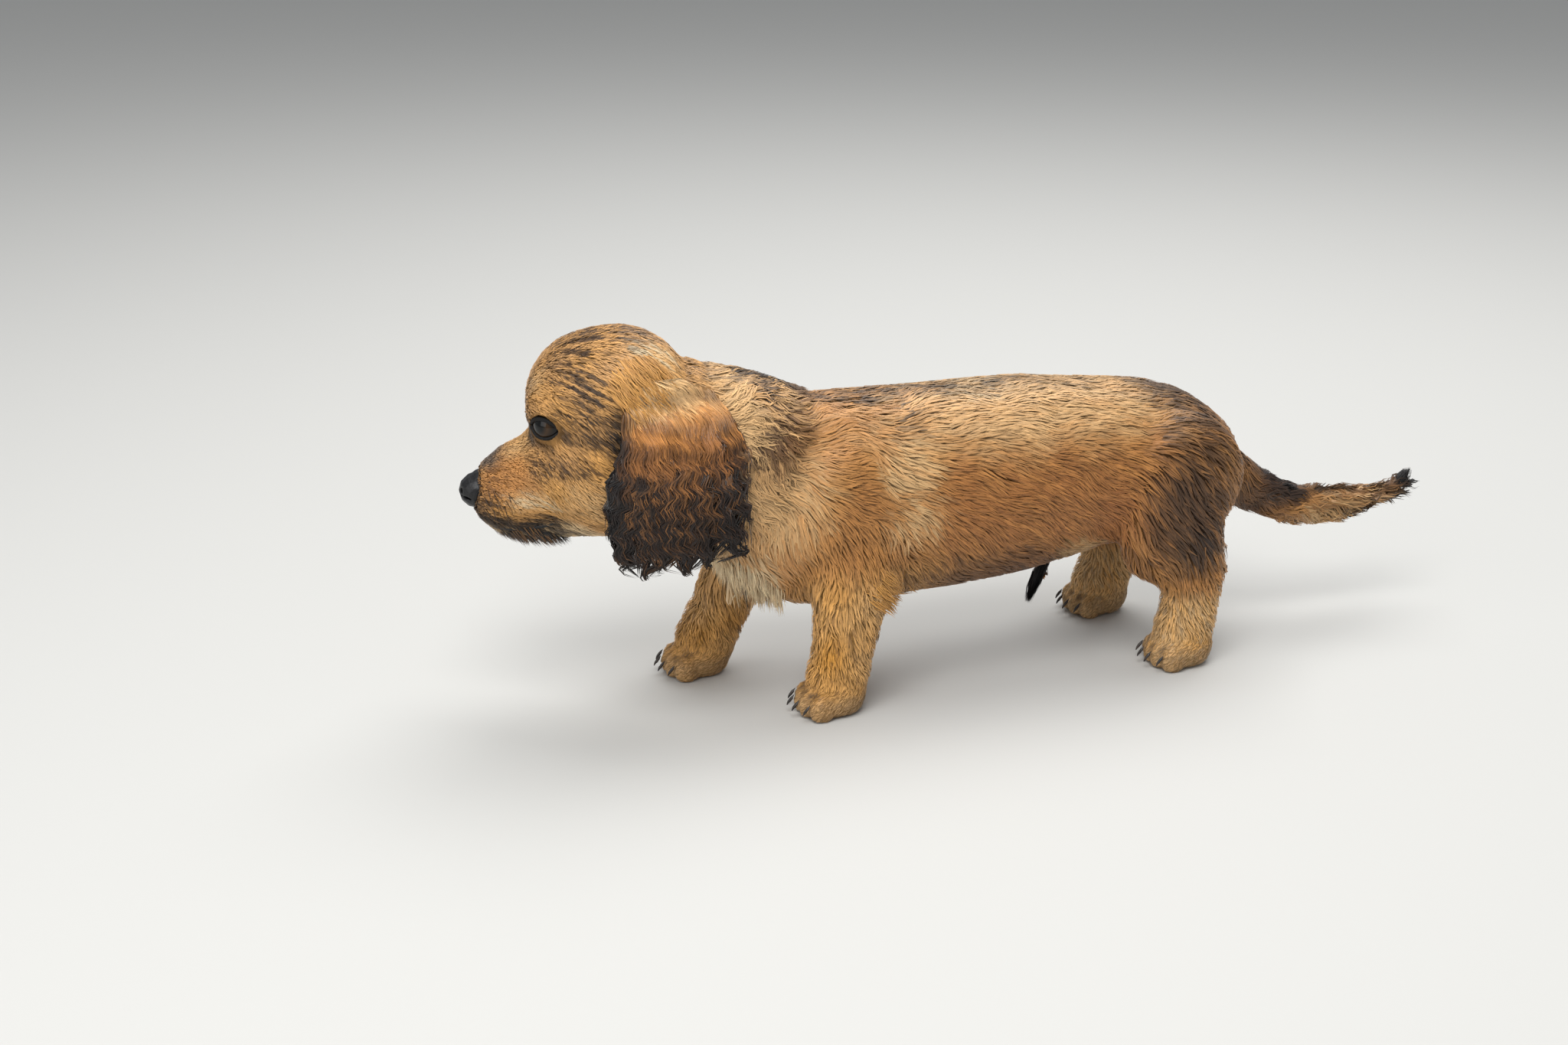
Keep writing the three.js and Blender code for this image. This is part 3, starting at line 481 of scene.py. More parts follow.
def furredSkin(name):
    # the dog's hide with its short undercoat: matt, finely broken, carries the coat's markings
    material, tree, shader = newMaterial(name)
    paint = addNode(tree, "Attribute", {"attribute_name": "coatColor"})
    place = addNode(tree, "TexCoord")
    fine = noise(tree, place.outputs["Object"], 900.0, 3.0, 0.7)
    tone = spanOf(tree, fine.outputs["Fac"], 0.3, 0.7, 0.6, 1.05)
    color = addNode(tree, "VectorMath", {"operation": "SCALE"},
                    {0: paint.outputs["Color"], "Scale": tone.outputs[0]})
    dress(tree, shader, color.outputs[0], fine.outputs["Fac"], 0.6, 0.0005)
    setInputs(shader, {"Roughness": 0.8, "Specular IOR Level": 0.2})
    return material


def wetLeather(name, dark, light, size, gloss, wet=0.2):
    # nose, lips and lid rims: naked hide in small pebbles up to a millimetre across, moist but for the lids
    material, tree, shader = newMaterial(name)
    place = addNode(tree, "TexCoord")
    cell = addNode(tree, "TexVoronoi", {"Scale": 1000.0 / size, "Randomness": 0.9},
                   {"Vector": place.outputs["Object"]})
    color = colorSteps(tree, cell.outputs["Distance"], ((0.1, light), (0.75, dark)))
    dress(tree, shader, color, cell.outputs["Distance"], 0.5, 0.00025, True)
    setInputs(shader, {"Roughness": gloss, "Specular IOR Level": 0.35, "Coat Weight": wet,
                       "Coat Roughness": 0.3})
    return material


def wetEye(name):
    # a living dog's eye: brown iris with a dark pupil and rim, under a clear wet cornea
    material, tree, shader = newMaterial(name)
    ring = addNode(tree, "Attribute", {"attribute_name": "ring"})
    spoke = addNode(tree, "Attribute", {"attribute_name": "spoke"})
    fibre = noise(tree, spoke.outputs["Vector"], 3.0, 3.0)
    push = addNode(tree, "Math", {"operation": "MULTIPLY_ADD", 1: 0.05},
                   {0: fibre.outputs["Fac"], 2: ring.outputs["Fac"]})
    # from the pupil over the iris and its dark rim to the white
    color = colorSteps(tree, push.outputs[0], (
        (0.20, "#020202"), (0.24, "#120b06"), (0.36, "#3a2714"), (0.50, "#211609"), (0.62, "#050404"),
        (0.70, "#080707"), (0.74, "#3c4250"), (0.78, "#7f8898")))
    dress(tree, shader, color)
    setInputs(shader, {"Roughness": 0.3, "IOR": 1.38, "Specular IOR Level": 0.1, "Coat Weight": 0.8,
                       "Coat IOR": 1.38, "Coat Roughness": 0.03})
    return material


def claws(name):
    # dark horn, smooth with lengthwise growth lines
    material, tree, shader = newMaterial(name)
    place = addNode(tree, "TexCoord")
    shape = addNode(tree, "Mapping", {"Scale": (300.0, 1800.0, 300.0)},
                    {"Vector": place.outputs["Object"]})
    lines = noise(tree, shape.outputs[0], 1.0, 2.0)
    dress(tree, shader, colorSteps(tree, lines.outputs["Fac"], ((0.35, "#171312"), (0.7, "#4a4038"))))
    setInputs(shader, {"Roughness": 0.38})
    return material


say("materials")
hideFur = furredSkin("hide with undercoat")
bodyHair = dogHair("long soft hair", 0.5, 3.0)
faceHair = dogHair("short face hair", 0.55, 2.0)
earHair = dogHair("silky ear hair", 0.42, 2.6)
noseHide = wetLeather("moist nose leather", "#050405", "#171517", 0.8, 0.5)
lipHide = wetLeather("lip leather", "#060505", "#130f0e", 0.7, 0.45)
lidHide = wetLeather("eyelid rim", "#040303", "#0d0a09", 0.5, 0.7, 0.0)
eyeWet = wetEye("wet eye")
clawHorn = claws("claw horn")

# the skin: one closed hide over head, neck, trunk, tail and legs, inside the coat by its depth

skinMake = {"voxel": 0.00115, "closeGap": 0.00025, "evenRounds": 5, "regionRounds": 26, "bodyShare": 0.40,
            "eyeReach": 0.0105}
earSkinMake = {"voxel": 0.0009, "depth": 0.0009, "evenRounds": 6, "farTop": 17, "drop": 0.0006,
               "tuck": 0.0003}
fleshNodes = ["head", "jaw", "neck", "torso", "tail", "leg_front_left", "leg_front_right",
              "leg_hind_left", "leg_hind_right"]
# seven regions: head, jaw, neck, torso, tail, fore legs, hind legs, and how deep the coat is on each in mm
regionOf = [0, 1, 2, 3, 4, 5, 5, 6, 6]
coatDepth = np.array([1.9, 1.7, 4.0, 4.2, 3.4, 2.6, 2.8]) / 1000
# the solids' locks are thinner than this, in metres; the sheath's lie in a box of these mm
lockForms = {"thin": 0.0055, "trunkMore": 0.003, "tailLess": 0.001, "rounds": 400,
             "sheathAt": 140, "sheathLong": 22, "sheathWide": 16, "sheathTop": 60}

say("skin")
skin = copyOfNodes("skin", fleshNodes)
applyModifier(skin, "DISPLACE", strength=skinMake["closeGap"], mid_level=0.0)
applyModifier(skin, "REMESH", mode="VOXEL", voxel_size=skinMake["voxel"])
print("skin remeshed", len(skin.data.vertices))
points = readPoints(skin.data)
bodyGroup = skin.vertex_groups.new(name="body")
aft = ramp(inHead(points)[:, 0], -30, -60)
for level in (0.0, 0.5, 1.0):
    chosen = np.nonzero(np.round(aft * 2) / 2 == level)[0]
    bodyGroup.add(chosen.tolist(), level, "REPLACE")
applyModifier(skin, "DECIMATE", ratio=skinMake["bodyShare"], vertex_group="body")
print("skin thinned", len(skin.data.vertices), len(skin.data.polygons))

cadPoints, cadFaces, cadRegion = [], [], []
for node, region in zip(fleshNodes, regionOf):
    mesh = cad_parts[node].data
    faces = readTriangles(mesh) + sum(len(p) for p in cadPoints)
    cadPoints.append(readPoints(mesh))
    cadFaces.append(faces)
    cadRegion += [region] * len(faces)
cadTree = BVHTree.FromPolygons(np.concatenate(cadPoints).tolist(), np.concatenate(cadFaces).tolist())
points = readPoints(skin.data)
edges = readEdges(skin.data)
share = np.zeros((len(points), 7))
for i, p in enumerate(points):
    share[i, cadRegion[cadTree.find_nearest(p)[2]]] = 1
share = spread(share, edges, skinMake["regionRounds"])
share /= share.sum(1, keepdims=True)


def roomInside(mesh, points, normals):
    tree = BVHTree.FromPolygons(points.tolist(), readTriangles(mesh).tolist())
    room = np.full(len(points), 0.03)
    for i, (p, n) in enumerate(zip(points, normals)):
        hit = tree.ray_cast(p - n * 0.00005, -n, 0.03)
        if hit[0] is not None:
            room[i] = hit[3]
    return room


def relax(points, edges, loose, rounds):
    # draws thin forms back into the body they stand on
    some = edges[loose[edges].any(1)]
    near = nearCount(some, len(points))
    for _ in range(rounds):
        for axis in range(3):
            points[loose, axis] = (nearSum(points[:, axis], some) / near)[loose]
    return points


def nearEyes(points, reach):
    away = np.minimum(np.linalg.norm(points - eyeMiddle["left"], axis=1),
                      np.linalg.norm(points - eyeMiddle["right"], axis=1))
    return ramp(away, reach + 0.006, reach)


def pushIn(mesh, points, depth):
    # moves a skin inwards by its coat's depth, and by less where the form is thin
    normals = readPoints(mesh, "normal")
    depth = np.minimum(depth, roomInside(mesh, points, normals) * 0.3)
    depth = spread(depth, readEdges(mesh), 8)
    return points - normals * depth[:, None]


# the solids' locks go, since the tufts take their place
room = roomInside(skin.data, points, readPoints(skin.data, "normal"))
back, wide, high = inTrunk(points).T
thin = lockForms["thin"] + lockForms["trunkMore"] * share[:, 3] - lockForms["tailLess"] * share[:, 4]
sheath = (np.abs(back - lockForms["sheathAt"]) < lockForms["sheathLong"]) & (high < lockForms["sheathTop"])
sheath &= np.abs(wide) < lockForms["sheathWide"]
loose = ((room < thin) | sheath) & (share[:, 0] + share[:, 1] < 0.3) & (high > 20)
loose = spread(loose.astype(float), edges, 5) > 0.12
loose &= (share[:, 4] < 0.5) | (back < 340)
points = relax(points, edges, loose, lockForms["rounds"])
writePoints(skin.data, points)

depth = share @ coatDepth
depth *= 1 - 0.8 * nearEyes(points, skinMake["eyeReach"])
depth *= ramp(points[:, 2], 0.001, 0.007)
legDepth = 0.0012 + 0.0014 * ramp(inTrunk(points)[:, 2], 16, 40)
depth = np.where(share[:, 5] + share[:, 6] > 0.5, np.minimum(depth, legDepth), depth)
points = pushIn(skin.data, points, depth)
evened = spread(points, edges, skinMake["evenRounds"])
points = np.where((nearEyes(points, skinMake["eyeReach"]) > 0.5)[:, None], points, evened)
points[:, 2] = np.maximum(points[:, 2], 0.0)
writePoints(skin.data, points)

earSkins = {}
for side in ("left", "right"):
    ear = copyOfNodes(f"ear_skin_{side}", [f"ear_{side}"])
    applyModifier(ear, "REMESH", mode="VOXEL", voxel_size=earSkinMake["voxel"])
    earPoints = readPoints(ear.data)
    earPoints = pushIn(ear.data, earPoints, np.full(len(earPoints), earSkinMake["depth"]))
    earPoints = spread(earPoints, readEdges(ear.data), earSkinMake["evenRounds"])
    if side == "right":
        # the far ear's top edge lies low behind the nape, whose hair covers it
        over = np.maximum(inHead(earPoints)[:, 2] - earSkinMake["farTop"], 0)
        behind = ramp(inHead(earPoints)[:, 0], -8, -24)
        earPoints[:, 2] -= earSkinMake["drop"] * over * behind
        earPoints -= headRight * (earSkinMake["tuck"] * over * behind)[:, None]
    writePoints(ear.data, earPoints)
    earSkins[side] = ear


# each skin is unwrapped on a coarse copy of its own shape, which gives every tuft its patch

def unwrapOf(piece, faces):
    makeActive(piece)
    bpy.ops.object.duplicate()
    coarse = bpy.context.view_layer.objects.active
    applyModifier(coarse, "DECIMATE", ratio=min(1.0, faces / max(len(coarse.data.polygons), 1)))
    applyModifier(coarse, "TRIANGULATE")
    makeActive(coarse)
    bpy.ops.object.mode_set(mode="EDIT")
    bpy.ops.mesh.select_all(action="SELECT")
    bpy.ops.uv.smart_project(angle_limit=1.15, island_margin=0.004)
    bpy.ops.object.mode_set(mode="OBJECT")
    mesh = coarse.data
    flat = readRows(mesh.uv_layers.active.data, "uv", 2)
    corners = readRows(mesh.loops, "vertex_index", 1, np.int32).ravel()
    where = readPoints(mesh)[corners].reshape(-1, 3, 3)
    tree = BVHTree.FromPolygons(readPoints(mesh).tolist(), corners.reshape(-1, 3).tolist())
    bpy.data.objects.remove(coarse)
    return {"tree": tree, "where": where, "flat": flat.reshape(-1, 3, 2).astype(float)}


def patchPlace(unwrap, roots):
    face = np.zeros(len(roots), int)
    at = np.zeros((len(roots), 3))
    for i, p in enumerate(roots):
        found = unwrap["tree"].find_nearest(p)
        face[i] = found[2]
        at[i] = found[0]
    a, b, c = np.moveaxis(unwrap["where"][face], 1, 0)
    ab, ac, ap = b - a, c - a, at - a
    d00, d01, d11 = (ab * ab).sum(1), (ab * ac).sum(1), (ac * ac).sum(1)
    d20, d21 = (ap * ab).sum(1), (ap * ac).sum(1)
    wide = np.maximum(d00 * d11 - d01 * d01, 1e-18)
    v = np.clip((d11 * d20 - d01 * d21) / wide, 0, 1)
    w = np.clip((d00 * d21 - d01 * d20) / wide, 0, 1)
    flat = unwrap["flat"][face]
    out = flat[:, 0] + (flat[:, 1] - flat[:, 0]) * v[:, None] + (flat[:, 2] - flat[:, 0]) * w[:, None]
    return np.clip(out, 0.002, 0.998)


say("unwrap")
skinUnwrap = unwrapOf(skin, 9000)
earUnwrap = {side: unwrapOf(earSkins[side], 2500) for side in earSkins}


# tufts: closed tapered blades with three sides, laid along the coat

def scatter(points, triangles, density, count):
    # roots spread evenly over the skin, by area and density
    a, b, c = points[triangles[:, 0]], points[triangles[:, 1]], points[triangles[:, 2]]
    area = np.linalg.norm(np.cross(b - a, c - a), axis=1) / 2
    load = np.cumsum(area * density[triangles].mean(1))
    pick = (np.arange(count) + draw.random(count)) / count * load[-1]
    face = np.minimum(np.searchsorted(load, pick), len(triangles) - 1)
    u, v = draw.random(count), draw.random(count)
    flip = u + v > 1
    u, v = np.where(flip, 1 - u, u), np.where(flip, 1 - v, v)
    weight = np.stack([1 - u - v, u, v], axis=1)
    return face, weight


def atRoots(values, triangles, face, weight):
    picked = values[triangles[face]]
    if values.ndim == 1:
        return (picked * weight).sum(1)
    return (picked * weight[:, :, None]).sum(1)


def sow(points, normals, triangles, density, count):
    # roots with their normals, and where each sits in its triangle
    where = triangles, *scatter(points, triangles, density, count)
    return where, atRoots(points, *where), unit(atRoots(normals, *where))


def along(lie, normals):
    return unit(lie - normals * (lie * normals).sum(-1, keepdims=True))


def turned(lie, normals, turn):
    return lie * np.cos(turn)[:, None] + np.cross(normals, lie) * np.sin(turn)[:, None]


def grow(tree, roots, normals, lie, length, height, follow, curl, rings, pull, pullTo):
    # the spine of each tuft: rings + 1 points from the root to the tip, kept over the skin
    side = np.cross(normals, lie)
    spine = [roots - normals * 0.0004]
    facing = [normals]
    crest = [np.zeros(len(roots))]
    for k in range(1, rings + 1):
        s = k / rings
        turn = 2 * math.pi * s * length / curl["swell"] + curl["phase"]
        bend = curl["reach"] * (np.sin(turn) - np.sin(curl["phase"]))
        at = roots + lie * (length * s)[:, None] + side * bend[:, None]
        at += (pullTo - roots - lie * length[:, None]) * (pull * s * s)[:, None]
        rise = height * min(1.0, 0.35 + 1.1 * s) + curl["lift"] * (0.5 + 0.5 * np.cos(turn))
        held = np.empty_like(at)
        out = np.empty_like(at)
        for i, p in enumerate(at):
            found = tree.find_nearest(p)
            held[i] = found[0]
            out[i] = found[1]
        out = unit(0.6 * out + 0.4 * normals)
        over = held + out * rise[:, None]
        free = at + normals * rise[:, None] - headUp * (length * s * s * 0.12)[:, None]
        spine.append(mix(free, over, follow[:, None]))
        facing.append(out)
        crest.append(np.cos(turn))
    return np.stack(spine, axis=1), np.stack(facing, axis=1), np.stack(crest, axis=1), side


def tuftMesh(name, grown, width, color, patch, own, crestHighlight=0.0, soft=0.72):
    # soft: how far each blade is shaded as the coat's own surface; crestHighlight: how much each blade is
    # painted lighter on its wave's crests and darker in its troughs, a painted highlight and shade
    spine, facing, crest, side = grown
    count, steps = spine.shape[0], spine.shape[1] - 1
    corners = 3 * steps + 1
    place = np.empty((count, corners, 3))
    hairPlace = np.empty((count, corners, 3))
    flat = np.empty((count, corners, 2))
    shading = np.empty((count, corners, 3))
    paint = np.empty((count, corners, 3))
    taper = [0.75, 1.0, 0.8, 0.66, 0.5, 0.36, 0.25] if steps > 3 else [0.8, 1.0, 0.6, 0.35]
    for k in range(steps):
        forward = unit(spine[:, k + 1] - spine[:, max(k - 1, 0)])
        across = unit(side - forward * (side * forward).sum(1, keepdims=True))
        up = np.cross(across, forward)
        up *= np.sign((up * facing[:, k]).sum(1, keepdims=True) + 1e-9)
        half = (width * taper[k] / 2)[:, None]
        place[:, 3 * k] = spine[:, k] - across * half
        place[:, 3 * k + 1] = spine[:, k] + across * half
        place[:, 3 * k + 2] = spine[:, k] + up * half * 0.5
        for j, way in enumerate((-across, across, up)):
            shading[:, 3 * k + j] = unit(facing[:, k] * soft + way * (1 - soft))
        # painted highlight on the wave's crests and painted shade in its troughs
        paint[:, 3 * k:3 * k + 3] = (color * (1 + crestHighlight * crest[:, k])[:, None])[:, None]
        for j, x in enumerate((-1.0, 1.0, 0.15)):
            hairPlace[:, 3 * k + j, 0] = x
            hairPlace[:, 3 * k + j, 1] = k / steps
            flat[:, 3 * k + j] = patch + np.array([x * 0.0015, (k / steps - 0.5) * 0.003])
    place[:, -1] = spine[:, -1]
    shading[:, -1] = facing[:, -1]
    paint[:, -1] = color * (1 + crestHighlight * crest[:, -1])[:, None]
    hairPlace[:, -1, 0] = 0
    hairPlace[:, -1, 1] = 1
    hairPlace[:, :, 2] = own[:, None]
    flat[:, -1] = patch + np.array([0, 0.0015])
    place[:, :, 2] = np.maximum(place[:, :, 2], 0.0002)
    faces = [(0, 1, 2)]
    for k in range(steps - 1):
        a, b = 3 * k, 3 * k + 3
        for j in range(3):
            n = (j + 1) % 3
            faces += [(a + j, b + j, b + n), (a + j, b + n, a + n)]
    last = 3 * (steps - 1)
    faces += [(last, corners - 1, last + 1), (last + 1, corners - 1, last + 2), (last + 2, corners - 1, last)]
    faces = np.array(faces)
    # the sections turn one way or the other with the side that the blade's normal is on
    flipped = (np.cross(spine[:, 1] - spine[:, 0], side) * facing[:, 0]).sum(1) > 0
    every = faces[None] + (np.arange(count) * corners)[:, None, None]
    every[flipped] = every[flipped][:, :, ::-1]
    every = every.reshape(-1, 3)
    mesh = bpy.data.meshes.new(name)
    mesh.vertices.add(count * corners)
    mesh.vertices.foreach_set("co", place.astype(np.float32).ravel())
    mesh.loops.add(every.size)
    mesh.loops.foreach_set("vertex_index", every.astype(np.int32).ravel())
    mesh.polygons.add(len(every))
    mesh.polygons.foreach_set("loop_start", np.arange(0, every.size, 3, dtype=np.int32))
    mesh.update(calc_edges=True)
    uv = mesh.uv_layers.new(name="OFBake")
    uv.data.foreach_set("uv", flat.reshape(-1, 2)[every.ravel()].astype(np.float32).ravel())
    addPaint(mesh, paint.reshape(-1, 3))
    addFloat(mesh, "hairPlace", hairPlace.reshape(-1, 3), "FLOAT_VECTOR")
    mesh.shade_smooth()
    mesh.normals_split_custom_set_from_vertices(shading.reshape(-1, 3).tolist())
    piece = bpy.data.objects.new(name, mesh)
    bpy.context.scene.collection.objects.link(piece)
    return piece


def gather(roots, lie, length, spacing):
    # the sheaf that each tuft leans to: its number, and where that sheaf's tip is
    count = max(int(len(roots) / spacing), 1)
    chosen = draw.permutation(len(roots))[:count]
    tree = KDTree(count)
    for i, c in enumerate(chosen):
        tree.insert(roots[c], i)
    tree.balance()
    nearest = np.array([tree.find(p)[1] for p in roots])
    tips = roots[chosen] + lie[chosen] * length[chosen][:, None]
    return nearest, tips[nearest]


# the lie of the coat, and its measures, at any place of the body

def coatLie(points, normals, share):
    f, r, u = inHead(points).T
    x, _, z = inTrunk(points).T
    out = np.abs(r)
    aft = np.array([1.0, 0, 0])
    down = -headUp
    side = np.outer(np.sign(r), headRight)
    face = down * 0.25 * ramp(u, 10, -20)[:, None] - headForward + side * 0.15
    temple = ramp(out, 9, 19) * ramp(u, -4, 10) * ramp(f, 36, 24)
    temple *= ramp(f, -24, -6)
    face = face + down * (0.55 * temple)[:, None]
    face = face + down * 0.55 * (ramp(out, 14, 26) * ramp(u, 25, -5))[:, None]
    jaw = down * 0.75 - headForward * 0.8 + np.zeros_like(points)
    neckDown = ramp(z, 165, 120)[:, None]
    neck = mix(aft, aft * 0.65 + down * 0.8, neckDown)
    neck = mix(neck, aft * 0.15 + down, ramp(x, -18, -45)[:, None] * neckDown)
    torso = aft + down * (0.12 + 0.6 * ramp(z, 150, 70)[:, None])
    torso = mix(torso, aft * 0.25 + down, (ramp(x, 12, -14) * ramp(z, 140, 110))[:, None])
    torso = mix(torso, aft * 0.35 + down, ramp(x, 205, 236)[:, None])
    tail = aft + down * (0.25 + 0.5 * ramp(normals[:, 2], 0.2, -0.6))[:, None]
    tail = mix(tail, aft + headUp * 0.35, ramp(x, 322, 345)[:, None])
    rear = ramp(normals[:, 0], -0.1, 0.7)[:, None]
    fore = down + aft * (0.12 + 0.5 * rear)
    hind = down + aft * (0.3 + 0.35 * rear)
    hind = mix(hind, down + aft * 0.75, ramp(z, 50, 75)[:, None])
    toe = ramp(z, 22, 12)[:, None]
    fore = mix(fore, -aft * 0.9 + down * 0.45, toe)
    hind = mix(hind, -aft * 0.9 + down * 0.45, toe)
    parts = np.stack([unit(part) for part in (face, jaw, neck, torso, tail, fore, hind)], axis=1)
    lie = along((parts * share[:, :, None]).sum(1), normals)
    turn = 0.34 * waves(points * 1000, 34, 61) + 0.12 * waves(points * 1000, 12, 62)
    wavy = share[:, 2] + share[:, 3] * ramp(x, 66, 30) + share[:, 4]
    turn += wavy * (0.3 * waves(points * 1000, 22, 63) + 0.2 * waves(points * 1000, 10, 64))
    turn *= 1 - 0.65 * (share[:, 0] + share[:, 1])
    turn *= 1 - 0.4 * (share[:, 5] + share[:, 6])
    return turned(lie, normals, turn)


def coatLength(points, share):
    # millimetres
    f, r, u = inHead(points).T
    x, _, z = inTrunk(points).T
    face = 2.6 + 2.4 * ramp(f, 40, 18) + 3.0 * ramp(f, 16, -14)
    face += 1.6 * ramp(u, -20, -38) * ramp(f, 30, 5)
    jaw = 3.6 + 5.0 * ramp(f, 38, 5)
    jaw += 4.0 * ramp(u, -44, -52) * ramp(f, 64, 50)
    neck = np.full(len(points), 15.0)
    torso = 12 + 4 * ramp(z, 78, 58) + 5 * ramp(x, 10, -10)
    torso += 3 * ramp(x, 200, 230)
    fore = mix(5 + 5 * ramp(z, 25, 60), 2.6, ramp(z, 24, 14))
    hind = mix(5 + 8 * ramp(z, 28, 70), 2.6, ramp(z, 24, 14))
    parts = np.stack([face, jaw, neck, torso, neck, fore, hind], axis=1)
    return (parts * share).sum(1)


def tuftWidth(length):
    return 0.00036 + 0.00005 * length


def creases(points, normals, edges):
    # 0 on a rounded form, 1 in a fold such as between two toes; tufts in folds get painted shade from it
    near = nearCount(edges, len(points))[:, None]
    wide = points.copy()
    for _ in range(6):
        wide = np.stack([nearSum(wide[:, axis], edges) for axis in range(3)], axis=1) / near
    sunk = ((wide - points) * normals).sum(1)
    return ramp(spread(sunk, edges, 3), 0.00003, 0.00028)


say("coat")
points = readPoints(skin.data)
normals = readPoints(skin.data, "normal")
triangles = readTriangles(skin.data)
skinTree = BVHTree.FromPolygons(points.tolist(), triangles.tolist())
addPaint(skin.data, coatColor(points, share, np.full(len(points), 0.5)) * 0.75)


def bareOf(points):
    # 1 where no hair grows: inside the lids, on the lips' edge and under the soles
    bare = np.zeros(len(points))
    for side, sign in (("left", -1), ("right", 1)):
        away = inHead(points) - inHead(eyeMiddle[side][None])
        gaze = unit(np.array([0.54, sign * 0.84, 0.06]))
        rise = unit(np.array([-0.12, 0, 1]) - gaze * (np.array([-0.12, 0, 1]) @ gaze))
        across = np.cross(rise, gaze)
        a, b, g = away @ across, away @ rise, away @ gaze
        inside = ((a / 9.4) ** 2 + (b / 7.6) ** 2 < 1) & (g > -2) & (np.linalg.norm(away, axis=1) < 16)
        bare[inside] = 1
    bare[points[:, 2] < 0.0012] = 1
    return bare


bare = bareOf(points)
fold = creases(points, normals, readEdges(skin.data))
lengthAt = coatLength(points, share)
# name, regions, roots, rings, roots per sheaf, how high it stands, how close it follows the skin, and
# how far it leans to its sheaf
pieceMakes = [
    ("coat_head", (0, 1), 36000, 2, 10, 0.75, 0.92, 0.28),
    ("coat_neck", (2,), 9000, 3, 14, 0.95, 0.65, 0.60),
    ("coat_trunk", (3,), 34000, 2, 12, 0.6, 0.85, 0.22),
    ("coat_tail", (4,), 5600, 3, 9, 0.9, 0.5, 0.4),
    ("coat_forelegs", (5,), 12000, 2, 9, 0.9, 0.8, 0.42),
    ("coat_hindlegs", (6,), 12000, 2, 9, 0.9, 0.8, 0.42),
]
facesPerPiece = 190000
# sizes in mm of the fine streaks on head and body, how much coarser the second layer is, and how strong
streakMake = {"head": 1.7, "body": 2.4, "coarser": 2.4, "fineShare": 0.55, "contrast": 1.25, "stray": 0.16}
curlMake = {"reach": 0.09, "swell": 0.015, "lift": 0.0004}
owner = share.argmax(1)
for name, regions, count, rings, sheaf, high, follow, lean in pieceMakes:
    mine = np.isin(owner, regions) & (bare < 0.5)
    density = 1.0 / np.maximum(lengthAt, 2.5) ** 0.9
    faces = triangles[mine[triangles].any(1)]
    where, roots, rootNormals = sow(points, normals, faces, density * mine, int(count * coatShare))
    rootShare = atRoots(share, *where)
    rootShare /= rootShare.sum(1, keepdims=True)
    keep = bareOf(roots) < 0.5
    roots, rootNormals, rootShare = roots[keep], rootNormals[keep], rootShare[keep]
    lie = coatLie(roots, rootNormals, rootShare)
    n = len(roots)
    length = coatLength(roots, rootShare) * draw.uniform(0.75, 1.2, n) / 1000
    stand = length * (0.35 - 0.2 * ramp(roots[:, 2], 0.026, 0.014))
    height = np.minimum(rootShare @ coatDepth, stand) * high * draw.uniform(0.55, 1.1, n)
    sheafOf, sheafTip = gather(roots, lie, length, sheaf)
    sheafDraw = np.random.default_rng(5).random(n)[sheafOf]
    fine = streakMake["head" if name == "coat_head" else "body"]
    streakDraw = mix(streaksAlong(roots, lie, fine * streakMake["coarser"], 72),
                     streaksAlong(roots, lie, fine, 71), streakMake["fineShare"])
    stray = draw.normal(0, streakMake["stray"], n)
    streakDraw = np.clip(0.5 + streakMake["contrast"] * (streakDraw - 0.5) + stray, 0, 1)
    wavy = rootShare[:, 2] + rootShare[:, 4] + 0.25
    curl = {"reach": length * curlMake["reach"] * wavy, "swell": np.full(n, curlMake["swell"]),
            "lift": curlMake["lift"] * wavy,
            "phase": sheafDraw * 2 + 3 * waves(roots * 1000, 16, 9)}
    grown = grow(skinTree, roots, rootNormals, lie, length, height, np.full(n, follow), curl, rings,
                 draw.uniform(0.0, 2 * lean, n), sheafTip)
    color = coatColor(roots, rootShare, streakDraw)
    foot = (rootShare[:, 5] + rootShare[:, 6]) * ramp(roots[:, 2], 0.030, 0.016)
    # painted shade: tufts rooted in folds, between the toes and in the face's creases, are painted dark
    creaseShade = atRoots(fold, *where)[keep] * np.maximum(foot, 0.35 * rootShare[:, 0])
    color = mix(color, hair["dark"], 0.75 * creaseShade[:, None])
    color = color * draw.uniform(0.88, 1.12, (n, 1)) * (1.13 - 0.26 * streakDraw[:, None])
    patch = patchPlace(skinUnwrap, roots)
    width = tuftWidth(length * 1000) * draw.uniform(0.8, 1.2, n)
    facesEach = 6 * (rings - 1) + 4
    parts = math.ceil(n * facesEach / facesPerPiece)
    order = np.argsort(roots[:, 0], kind="stable")
    for part, chosen in enumerate(np.array_split(order, parts)):
        label = name if parts == 1 else f"{name}_{part + 1}"
        # the last argument gives a slight painted highlight on the tufts' wave crests
        piece = tuftMesh(label, [values[chosen] for values in grown], width[chosen], color[chosen],
                         patch[chosen], draw.random(len(chosen)), 0.08)
        finishPiece(piece, faceHair if name == "coat_head" else bodyHair)
    print(name, n, parts)

finishPiece(skin, hideFur, fleshNodes)

